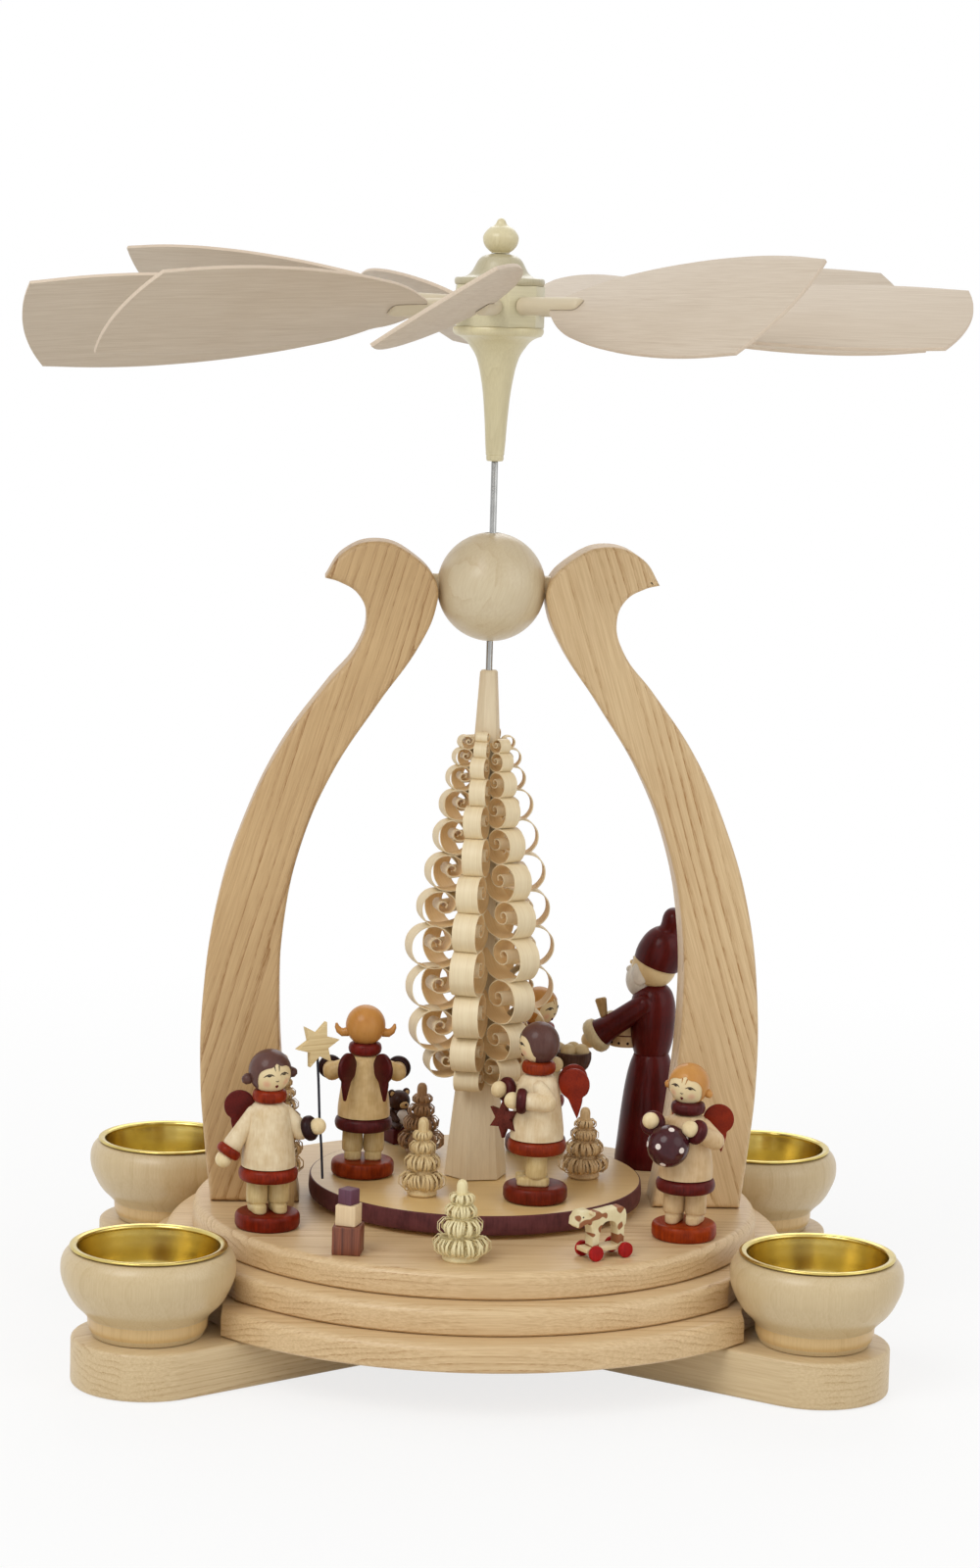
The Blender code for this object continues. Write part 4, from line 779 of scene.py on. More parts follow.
def set_out(
    name: str, parts: Sequence[Piece], place: Point, turn: float, body: str, slot: str, node: str, tall: float = 1.0
) -> None:
    """Joins the parts of a figure or a toy and sets it down in place of its node.

    Args:
        name: The piece's name.
        parts: Its parts.
        place: Its place in mm.
        turn: Its turn about Z in degrees.
        body: The body that it moves with.
        slot: The record's material slot.
        node: The node that it replaces.
        tall: What its height is multiplied by.
    """
    stand_for(set_down(joined(name, parts), place, (0, 0, turn), (1, 1, tall)), body, slot, node)


def on_circle(angle: float, radius: float, height: float = 0.0) -> Point:
    """The point at an angle in degrees and a radius, at a height."""
    return radius * math.cos(math.radians(angle)), radius * math.sin(math.radians(angle)), height


def arc(centre: Point, radius: float, start: float, sweep: float, steps: int) -> list[Point]:
    """Points along an arc, as corners.

    Args:
        centre: Its centre.
        radius: Its radius.
        start: The angle it starts at, in degrees.
        sweep: The angle it runs over.
        steps: Its steps.

    Returns:
        Both ends and the points between.
    """
    points = (on_circle(start + sweep * step / steps, radius) for step in range(steps + 1))
    return [(centre[0] + x, centre[1] + y, 1) for x, y, _ in points]


# The stand


@dataclass
class Feet:
    """Two crossed bars of ash with round ends, half-lapped where they cross."""

    reach: float = 129.1
    width: float = 48.6
    thickness: float = 15.4
    edge: float = 1.3
    angle: float = 34.5
    gap: float = 0.15

    def build(self) -> None:
        """Makes both bars."""
        half = self.width / 2
        outline = arc((self.reach, 0), half, -90, 180, 28) + arc((-self.reach, 0), half, 90, 180, 28)
        for name, node, side in (("foot_below", "foot_bar_lower", 1), ("foot_above", "foot_bar_upper", -1)):
            bar = sawn(name, outline, self.thickness, ASH_GREY.dress(Grain.ALONG_X, 0, (64, 9, 60)), self.edge, 1)
            lap = block("lap", (2 * self.reach, self.width, self.thickness), (0, 0, 0), BRASS.dress(), 0.01)
            set_down(lap, (0, 0, side * (self.thickness / 2 - self.gap)), (0, 0, -2 * side * self.angle))
            finish(cut(bar, lap), bar.data.materials[0])
            set_down(bar, (0, 0, self.thickness / 2), (0, 0, side * self.angle))
            stand_for(bar, "base", "ash", node)


@dataclass
class BasePlates:
    """Three stacked round plates of ash, each with a rounded upper edge."""

    radii: tuple[float, ...] = (113.5, 104.0, 95.0)
    bottom: float = 15.7
    thickness: float = 8.7
    pitch: float = 9.0
    nose: float = 3.0
    chamfer: float = 0.6
    cup_reach: float = 129.1
    cup_radii: tuple[float, ...] = (23.6, 28.0)
    cup_angles: tuple[float, ...] = (34.5, 145.5, 214.5, 325.5)
    cut_heights: Point = (60.0, 1.0)

    def build(self) -> None:
        """Makes the plates from the lowest up, the lower two with round cuts for the cups."""
        high, deep = self.cut_heights
        for index, (radius, word) in enumerate(zip(self.radii, ("lower", "middle", "top"))):
            low = self.bottom + index * self.pitch
            top = low + self.thickness
            profile = [
                (0, top, 1), (radius - self.nose, top, 1),
                *arc((radius - self.nose, top - self.nose), self.nose, 75, -75, 5),
                (radius, low + self.chamfer, 1), (radius - self.chamfer, low, 1), (0, low, 1),
            ]
            board = ASH_FLAT.dress(Grain.ALONG_X, 0, (128 - 9 * index, 40 + 17 * index, 40))
            plate = turned(f"plate_{word}", profile, board, 160, 1)
            for wide in self.cup_radii[index:index + 1]:
                for angle in self.cup_angles:
                    hole = turned("hole", [(0, high, 1), (wide, high, 1), (wide, deep, 1), (0, deep, 1)], board, 96, 1)
                    cut(plate, set_down(hole, on_circle(angle, self.cup_reach)))
            finish(plate, board)
            stand_for(plate, "base", "ash", f"base_plate_{word}")


@dataclass
class CandleCups:
    """Four turned cups with spun brass liners for tea lights."""

    reach: float = 129.1
    places: dict[str, float] = field(default_factory=lambda: {
        "rear_right": 34.5, "rear_left": 145.5, "front_left": 214.5, "front_right": 325.5,
    })
    outer: tuple[Point, ...] = (
        (24.0, 43.6, 1), (24.9, 43.4), (26.2, 42.4), (27.4, 40.2), (27.75, 38.0), (27.5, 34.6), (26.2, 31.0),
        (23.7, 26.6), (20.6, 23.4), (19.4, 22.0, 1), (19.2, 21.4), (18.9, 18.6), (18.4, 17.4, 1), (18.0, 16.6),
        (17.5, 15.7, 1),
    )
    liner: tuple[Point, ...] = (
        (22.7, 44.3), (23.6, 44.7), (24.6, 44.7), (25.0, 44.3), (24.7, 43.9), (23.9, 43.9), (23.35, 43.4),
        (22.2, 38.0), (20.9, 31.2), (20.2, 30.1, 1), (0.0, 30.0, 1),
    )
    liner_inner: tuple[Point, ...] = (
        (0.0, 30.6, 1), (13.8, 30.6), (16.6, 30.7), (17.3, 31.5), (18.2, 31.5), (18.9, 30.7), (19.4, 30.6),
        (20.2, 31.4), (21.6, 37.8), (22.5, 43.2),
    )
    bore: tuple[Point, ...] = ((0.0, 29.5, 1), (20.8, 29.5, 1), (23.6, 43.3, 1))
    # The heights of the band under the belly that is painted darker as shade, and the least radius of its faces.
    band: Point = (17.4, 21.8)
    band_radius: float = 15.0

    def build(self) -> None:
        """Makes the cups and liners, each modelled once and copied."""
        lie = (Grain.ALONG_Z, 8, (9, 14, 0))
        foot = (0.0, self.outer[-1][1], 1)
        cup = turned("cup", [*self.bore, *self.outer, foot], LINDEN.dress(*lie), 128)
        low, high = self.band
        # The band under the belly is painted darker and warmer, as painted shade.
        two_toned(
            cup, LINDEN_PAINTED_SHADE.dress(*lie),
            lambda face: low < face.center.z / MM < high and face.center.xy.length > self.band_radius * MM,
        )
        liner = turned("liner", [*self.liner_inner, *self.liner][::-1], BRASS.dress(), 128, 5)
        for word, angle in self.places.items():
            place = on_circle(angle, self.reach)
            spin = (0, 0, angle * 3)
            stand_for(set_down(copy_of(cup, f"cup_{word}"), place, spin), "base", "linden", f"candle_cup_{word}")
            stand_for(set_down(copy_of(liner, f"liner_{word}"), place), "base", "brass", f"candle_liner_{word}")
        discard(cup, liner)


@dataclass
class Arches:
    """Two arches of ash with curled heads that hold the ball."""

    thickness: float = 22.0
    edge: float = 1.8
    lean: float = 17.0
    outline: tuple[Point, ...] = (
        (59.3, 42.7, 1), (64.6, 75.3), (67.3, 112.3), (66.3, 137.1), (61.5, 162.1), (51.5, 187.2), (36.7, 210.9),
        (23.4, 230.6), (18.5, 242.6), (18.3, 250.6), (25.9, 259.6), (37.5, 264.3), (49.3, 260.3), (55.0, 251.9, 1),
        (50.2, 250.6), (43.9, 246.6), (41.2, 239.5), (43.7, 229.7), (54.0, 216.4), (68.2, 196.3), (80.2, 170.8),
        (88.3, 144.2), (92.6, 112.3), (93.0, 84.1), (91.2, 62.2), (89.0, 42.7, 1),
    )

    def build(self) -> None:
        """Makes the left and the right arch."""
        # The left arch takes the ash that is painted darker, as painted shade.
        for word, side, ash in (("left", -1, ASH_PAINTED_SHADE), ("right", 1, ASH)):
            outline = [(side * across, up, *corner) for across, up, *corner in self.outline]
            arch = sawn(f"arch_{word}_board", outline, self.thickness, ASH.dress(), self.edge, 8, 3)
            set_down(arch, turn=(90, 0, 0))
            finish(arch, ash.dress(Grain.ALONG_Z, -side * self.lean, (side * 40, 74 + side * 9, 0)))
            stand_for(arch, "base", "ash", f"arch_{word}")


@dataclass
class BallAndShaft:
    """The ball between the arches, its dowels and bush, and the shaft with its bearing."""

    radius: float = 18.0
    height: float = 249.6
    bore: float = 2.7
    tube: Point = (2.4, 1.5, 17.2)
    dowel: tuple[Point, ...] = ((11.8, 3.5), (12.3, 4.0), (25.7, 4.0), (26.2, 3.5))
    cup: tuple[Point, ...] = (
        (0, 39.3, 1), (1.7, 41.5, 1), (1.7, 41.9, 1), (2.0, 42.2), (3.7, 42.2), (4.0, 41.9), (4.0, 38.2, 1),
        (0, 38.2, 1),
    )
    pin: tuple[Point, ...] = (
        (0, 344.0, 1), (0.9, 344.0, 1), (1.1, 343.7, 1), (1.1, 41.0, 1), (0.5, 39.9), (0.0, 39.6, 1),
    )

    def build(self) -> None:
        """Makes the ball, the bush, the dowels, the bearing and the shaft."""
        up = (0, 0, self.height)
        low = math.degrees(math.asin(self.bore / self.radius))
        profile = arc((0, 0), self.radius, 90 - low, -180 + 2 * low, 40)
        guide = turned("ball_between_arches", profile, LINDEN_PALE.dress(Grain.ALONG_Z, 20, (30, 40, 0)), 96, 1)
        stand_for(set_down(guide, up), "base", "linden", "guide_ball")
        wide, narrow, half = self.tube
        tube = [(wide, half, 1), (wide, -half, 1), (narrow, -half, 1), (narrow, half, 1)]
        stand_for(set_down(turned("bush_in_ball", tube, BRASS.dress(), 32, 1), up), "base", "brass", "guide_bush")
        for word, side in (("left", -1), ("right", 1)):
            ends = [(side * across, 0, 0) for across, _ in self.dowel]
            radii = [radius for _, radius in self.dowel]
            dowel = rod(f"dowel_{word}", ends, radii, LINDEN.dress(Grain.ALONG_X), 4)
            stand_for(set_down(dowel, up), "base", "linden", f"ball_dowel_{word}")
        stand_for(turned("bearing_cup", self.cup, BRASS.dress(), 32, 2), "base", "brass", "pivot_bearing")
        stand_for(turned("steel_shaft", self.pin, STEEL.dress(), 24, 2), "rotor", "steel", "shaft")


@dataclass
class Turntable:
    """The plate that turns: plywood, its rim stained plum."""

    radius: float = 56.0
    low: float = 44.0
    top: float = 50.5

    def build(self) -> None:
        """Makes the plate and colours its rim."""
        edge = self.radius - 0.5
        profile = [
            (1.5, self.top, 1), (edge, self.top, 1), (self.radius - 0.1, self.top - 0.15),
            (self.radius, self.top - 0.5), (self.radius, self.low + 0.4), (edge, self.low, 1), (1.5, self.low, 1),
        ]
        plate = turned("turning_plate", profile, PLYWOOD.dress(Grain.ALONG_X, 0, (0, 30, 60)), 160, 3)
        two_toned(plate, RIM_STAIN.dress(), lambda face: face.center.xy.length / MM > edge - 0.2)
        stand_for(plate, "rotor", "linden", "turntable_plate")


@dataclass
class ShavingTree:
    """The six-sided trunk with six columns of curls that a chisel has raised from it.

    Attributes:
        columns: The angle of each column in degrees, and how far its rows stand above the first column's.
        rows: The heights between the rows in mm.
        reach: How far the curl of each row stands out from the axis.
        path: The strip from the trunk to the loop, as shares of the way to its centre and of its radius.
        loop: The loop and the tight roll in it, as shares of its radius, outwards and up.
        widths: The strip's width low on the tree, and what is lost of it at the top.
        thickness: The strip's thickness.
        slack: The strip's length, in radii of its loop, besides the straight way to it.
        stem: The trunk's radius and height at its foot and at each step above it.
        stem_turn: The trunk's turn in degrees.
        edge: The bevel of the trunk's edges.
        seed: What makes the curls differ.
    """

    columns: tuple[Point, ...] = ((-106.5, 0.0), (-54.0, 0.33), (4.0, 0.5), (69.0, 0.0), (133.0, 0.33), (193.5, 0.5))
    rows: tuple[float, ...] = (
        82.0, 89.0, 101.0, 115.6, 130.2, 142.5, 154.5, 166.8, 177.5, 186.5, 193.4, 198.4, 201.7,
    )
    reach: tuple[float, ...] = (15.2, 21.4, 24.0, 25.0, 23.8, 21.0, 18.7, 16.0, 14.2, 12.2, 10.5, 8.3)
    path: tuple[Point, ...] = ((-0.06, 0.3), (0.04, -0.25), (0.19, -0.66), (0.5, -0.93))
    loop: tuple[Point, ...] = (
        (0.26, -0.97), (0.71, -0.71), (1, 0), (0.71, 0.71), (0, 1), (-0.58, 0.84), (-0.96, 0.38), (-0.88, 0),
        (-0.46, -0.23), (0, -0.08), (0.04, 0.23), (-0.2, 0.42), (-0.46, 0.26), (-0.38, 0.08),
    )
    widths: Point = (8.7, 5.1)
    thickness: float = 0.38
    slack: float = 9.4
    stem: tuple[Point, ...] = ((10.9, 50.8), (7.6, 82.0), (4.4, 200.0), (4.2, 203.0), (3.1, 221.3), (2.6, 222.0))
    stem_turn: float = -80.0
    edge: float = 0.25
    seed: int = 24

    def build(self) -> None:
        """Makes the trunk and the curls and joins them."""
        parts = [self.trunk()]
        chance = random.Random(self.seed)
        for phase in sorted({phase for _, phase in self.columns}):
            for row in range(len(self.reach) - (phase > 0)):
                low, high, reach = (
                    values[row + up] + (values[row + up + (phase > 0)] - values[row + up]) * phase
                    for values, up in ((self.rows, 0), (self.rows, 1), (self.reach, 0))
                )
                model = self.curl(low, high, reach)
                for angle in (angle for angle, own in self.columns if own == phase):
                    curl = copy_of(model, f"curl_{row}_{angle:.0f}")
                    size = 1 + chance.uniform(-0.04, 0.04)
                    lift = (low + high) / 2
                    set_down(curl, (0, 0, -lift))
                    set_down(curl, (0, 0, lift), (chance.uniform(-2, 2), 0, 0), (size, 1, size))
                    parts.append(set_down(curl, turn=(0, 0, angle + chance.uniform(-2, 2))))
                discard(model)
        stand_for(joined("tree_of_curls", parts), "rotor", "birch", "shaving_tree")

    def trunk(self) -> Piece:
        """Extrudes the tapered six-sided trunk from a ring.

        Returns:
            The trunk.
        """
        radius, height = self.stem[0]
        deselect()
        bpy.ops.mesh.primitive_circle_add(vertices=6, radius=radius * MM, fill_type="NGON", location=(0, 0, 0))
        trunk = bpy.context.object
        trunk.name = "trunk"
        with editing(trunk):
            bpy.ops.transform.translate(value=(0, 0, height * MM))
            for wide, up in self.stem[1:]:
                bpy.ops.mesh.extrude_region_move(TRANSFORM_OT_translate={"value": (0, 0, (up - height) * MM)})
                share = wide / radius
                bpy.ops.transform.resize(value=(share, share, 1), center_override=(0, 0, 0))
                radius, height = wide, up
        modified(trunk, "BEVEL", width=self.edge * MM, segments=2)
        finish(tidy_mesh(trunk), TRUNK.dress(Grain.ALONG_Z, 0, (5, 14, 0)), 25)
        return set_down(trunk, turn=(0, 0, self.stem_turn))

    def curl(self, low: float, high: float, reach: float) -> Piece:
        """Bends a strip of shaving along its path.

        Args:
            low: The row's lower edge.
            high: Its upper edge.
            reach: How far it stands out.

        Returns:
            The curl at +X.
        """
        share = (low - self.rows[0]) / (self.rows[-1] - self.rows[0])
        width = self.widths[0] - self.widths[1] * share * share
        core = 6.5 - 2.7 * share
        radius = (high - low) * 0.5
        across, up = reach - radius, low + radius
        path = [(core + (across - core) * x, up + radius * z) for x, z in self.path]
        path += [(across + radius * x, up + radius * z) for x, z in self.loop]
        line = drawn_line("path", path, False, 5)
        line.data.use_stretch = line.data.use_deform_bounds = True
        length = radius * self.slack + across - core
        deselect()
        bpy.ops.mesh.primitive_grid_add(x_subdivisions=84, y_subdivisions=2, size=MM, location=(0, 0, 0))
        strip = bpy.context.object
        with editing(strip):
            bpy.ops.transform.translate(value=(MM / 2, 0, 0))
            bpy.ops.transform.resize(value=(length, width, 1), center_override=(0, 0, 0))
        set_down(strip, turn=(90, 0, 0))
        finish(strip, SHAVING.dress(Grain.ALONG_X, 0, (0, 8, 22)), 60)
        strip.data.materials.append(SHAVING_INNER.dress(Grain.ALONG_X, 0, (0, 8, 22)))
        modified(strip, "CURVE", object=line, deform_axis="POS_X")
        modified(strip, "SOLIDIFY", thickness=self.thickness * MM, offset=0.0, material_offset=1)
        shade(strip, 50)
        discard(line)
        return set_down(strip, turn=(90, 0, 0))


# The wheel


@dataclass
class Hub:
    """The nine-sided block between a turned spindle and cap, with its finial."""

    sides: int = 9
    first: float = -260.0
    apothem: float = 14.1
    low: float = 334.62
    high: float = 348.18
    spindle: tuple[Point, ...] = (
        (1.5, 334.6, 1), (14.6, 334.6, 1), (14.8, 334.3), (14.8, 332.9), (14.1, 331.9, 1), (12.2, 331.2),
        (10.4, 329.9), (9.3, 328.5), (7.5, 325.8), (6.5, 323.2), (5.3, 317.9), (4.5, 312.6), (4.0, 307.3),
        (3.6, 302.0), (3.3, 296.7), (3.05, 293.4), (3.1, 293.2, 1), (2.85, 292.9, 1), (2.8, 291.4), (2.5, 291.0, 1),
        (1.5, 291.0, 1),
    )
    cap: tuple[Point, ...] = (
        (0, 358.5, 1), (3.1, 358.4, 1), (5.8, 357.5), (7.2, 356.2), (8.2, 354.4), (9.4, 352.4), (11.0, 351.1),
        (12.6, 350.7, 1), (14.2, 350.6, 1), (14.6, 350.3), (14.6, 348.5), (14.3, 348.2, 1), (0, 348.2, 1),
    )
    knob: tuple[Point, ...] = (
        (0, 370.0, 1), (0.8, 369.7), (1.4, 369.0), (1.7, 368.3), (2.4, 367.5), (3.7, 366.8), (4.9, 365.6),
        (5.7, 364.3), (5.85, 363.3), (5.4, 361.4), (4.1, 359.7), (3.0, 358.9, 1), (3.0, 358.6, 1), (1.6, 358.5, 1),
        (1.6, 350.0, 1), (0, 350.0, 1),
    )
    edge: float = 0.25

    def build(self) -> None:
        """Makes the four pieces of the hub."""
        for name, profile, maple, sides, node in (
            ("spindle_below_hub", self.spindle, MAPLE, 96, "hub_spindle"),
            ("cap_on_hub", self.cap, MAPLE_CAP, 96, "hub_cap"), ("knob_on_cap", self.knob, MAPLE, 64, "finial"),
        ):
            piece = turned(name, profile, maple.dress(Grain.ALONG_Z, 3, (12, 20, 0)), sides, 5)
            stand_for(piece, "rotor", "maple", node)
        deselect()
        radius = self.apothem / math.cos(math.pi / self.sides)
        bpy.ops.mesh.primitive_cylinder_add(
            vertices=self.sides, radius=radius * MM, depth=(self.high - self.low) * MM, location=(0, 0, 0),
            rotation=(0, 0, 0),
        )
        prism = bpy.context.object
        prism.name = "nine_sided_block"
        modified(prism, "BEVEL", width=self.edge * MM, segments=2)
        finish(prism, MAPLE_BLOCK.dress(Grain.ALONG_X, 0, (0, 20, 30)), 20)
        # The primitive starts with a corner towards +Y, so half a side brings a face towards the first blade.
        set_down(prism, (0, 0, (self.low + self.high) / 2), (0, 0, self.first - 90 + 180 / self.sides))
        stand_for(prism, "rotor", "maple", "hub_block")


@dataclass
class Blades:
    """Nine birch blades, each let into a maple peg that turns in the hub."""

    height: float = 341.5
    first: float = -260.0
    rests: tuple[float, ...] = (33, 38, 39, 35, 32.5, 41, 25.5, 38, 33)
    droops: tuple[float, ...] = (0, -1.7, 3.8, 2.1, 0.7, -0.4, 0.3, -0.8, 0)
    root: float = 34.0
    reach: float = 150.9
    crown: float = 4.3
    half: float = 23.2
    thickness: float = 1.2
    chords: tuple[Point, ...] = (
        (0.0, 0.13), (0.035, 0.26), (0.137, 0.52), (0.248, 0.69), (0.411, 0.86), (0.633, 0.985), (0.821, 0.995),
    )
    peg: tuple[Point, ...] = (
        (0, 0, 1), (1.5, 0.1), (2.3, 0.7), (2.7, 2.0), (2.85, 4.5), (2.9, 12.0), (2.9, 33.35, 1), (2.0, 33.35, 1),
        (2.0, 40.6, 1), (0, 40.6, 1),
    )
    peg_end: float = 48.0
    slot: Point = (16.0, 8.0, 0.4)
    slot_middle: float = 7.7
    corner: float = 0.914

    def build(self) -> None:
        """Models the peg and the blade once and sets nine of each in the hub."""
        bare = MAPLE_PEG.dress(Grain.ALONG_Z, 0, (6, 11, 0))
        peg = set_down(turned("peg", self.peg, bare, 32, 4), (self.peg_end, 0, 0), (0, -90, 0))
        long, wide, play = self.slot
        slot = block("slot", (long, wide, self.thickness + play), (self.root + self.slot_middle, 0, 0), bare, 0.01)
        shade(cut(peg, slot), 40)
        span = self.reach - self.root
        side = [(self.root + span * along, self.half * across) for along, across in self.chords]
        tip = self.half * self.corner
        crown = [(self.reach + self.crown * (1 - share * share), tip * share) for share in (0.72, 0.4, 0, -0.4, -0.72)]
        back = [(along, -across) for along, across in reversed(side)]
        outline = [*side, (self.reach, tip, 1), *crown, (self.reach, -tip, 1), *back]
        lie = (Grain.ALONG_X, 0, (0, 3, 34))
        blade = sawn("blade", outline, self.thickness, BIRCH.dress(*lie), 0.12, 8, 1)
        two_toned(blade, BIRCH_EDGE.dress(*lie), lambda face: abs(face.normal.z) < 0.6)
        for number, (rest, droop) in enumerate(zip(self.rests, self.droops), 1):
            place = ((0, 0, self.height), (rest, droop, self.first + 40 * (number - 1)))
            body = f"wing_{number}"
            stand_for(set_down(copy_of(peg, f"peg_{number}"), *place), body, "maple", f"blade_peg_{number}")
            stand_for(set_down(copy_of(blade, f"wing_blade_{number}"), *place), body, "birch", f"blade_{number}")
        discard(peg, blade)


# The figures


def spun_along(
    name: str, start: Point, way: Point, stations: Sequence[tuple[float, float]], material: Material,
    sides: int = 10,
) -> Piece:
    """Turns a small part about a slanting axis.

    Args:
        name: The part's name.
        start: Where the axis starts, in mm.
        way: The direction of the axis.
        stations: Distances along the axis, each with its radius, in mm.
        material: The material for all of it.
        sides: The rounding of its cross-section.

    Returns:
        The part.
    """
    axis = Vector(way).normalized()
    points = [Vector(start) + axis * along for along, _ in stations]
    return rod(name, points, [radius for _, radius in stations], material, sides)


def limb(name: str, start: Point, end: Point, first: float, last: float, material: Material) -> Piece:
    """Turns a tapered limb with rounded ends.

    Args:
        name: The limb's name.
        start: The middle of its first end, in mm.
        end: The middle of its last end.
        first: The radius at the first end.
        last: The radius at the last end.
        material: The material for all of it.

    Returns:
        The limb.
    """
    way = Vector(end) - Vector(start)
    quarter = [math.radians(angle) for angle in (4, 24, 46, 68, 90)]
    stations = [(-first * math.cos(angle), first * math.sin(angle)) for angle in quarter]
    stations += [(way.length + last * math.cos(angle), last * math.sin(angle)) for angle in reversed(quarter)]
    return spun_along(name, start, way, stations, material)


def stroke(name: str, points: Sequence[Point], radius: float, width: float, material: Material) -> Piece:
    """Draws a brush stroke on the front of a ball at the origin.

    Args:
        name: The stroke's name.
        points: X and Z of the places along it, in mm.
        radius: The ball's radius.
        width: Half the stroke's width in mm.
        material: The paint.

    Returns:
        The stroke.
    """
    path = [(x, -math.sqrt(radius * radius - x * x - z * z), z) for x, z in points]
    last = len(path) - 1
    radii = [width * (0.35 + 0.65 * math.sin(math.pi * place / last)) for place in range(last + 1)]
    return rod(name, path, radii, material, 2)


class Locks(enum.Enum):
    """What hangs at the sides of an angel's head: places and radii along a lock, in mm."""

    NONE = ()
    BUNS = (
        (5.2, 0.8, -0.8, 1.0), (6.2, 0.8, -1.2, 1.35), (7.1, 0.8, -1.5, 1.8), (8.0, 0.8, -1.5, 1.85),
        (8.8, 0.8, -1.2, 1.4), (9.3, 0.8, -0.9, 0.5),
    )
    SMALL_BUNS = (
        (5.0, 0.8, -1.0, 0.9), (6.0, 0.8, -1.5, 1.3), (6.8, 0.8, -1.8, 1.5), (7.5, 0.8, -1.8, 1.4),
        (8.2, 0.8, -1.5, 0.5),
    )
    FLIPS = (
        (4.6, 0.6, -1.5, 1.4), (6.2, 0.5, -2.3, 1.6), (7.7, 0.4, -2.5, 1.45), (8.9, 0.3, -1.8, 1.15),
        (9.6, 0.2, -0.6, 0.8), (9.8, 0.2, 0.6, 0.35),
    )


@dataclass(frozen=True)
class AngelColours:
    """The stains of one angel, as hex colours, each with a deeper one."""

    hair: Tones
    collar: Tones
    hem: Tones
    disc: Tones
    wings: Tones
    cuffs: tuple[Tones, Tones]
    tunic: Tones = ("ead9b8", "d2b78c")
    legs: Tones = ("dcc795", "bfa36c")
    skin: Tones = ("eddbb0", "dcc293")


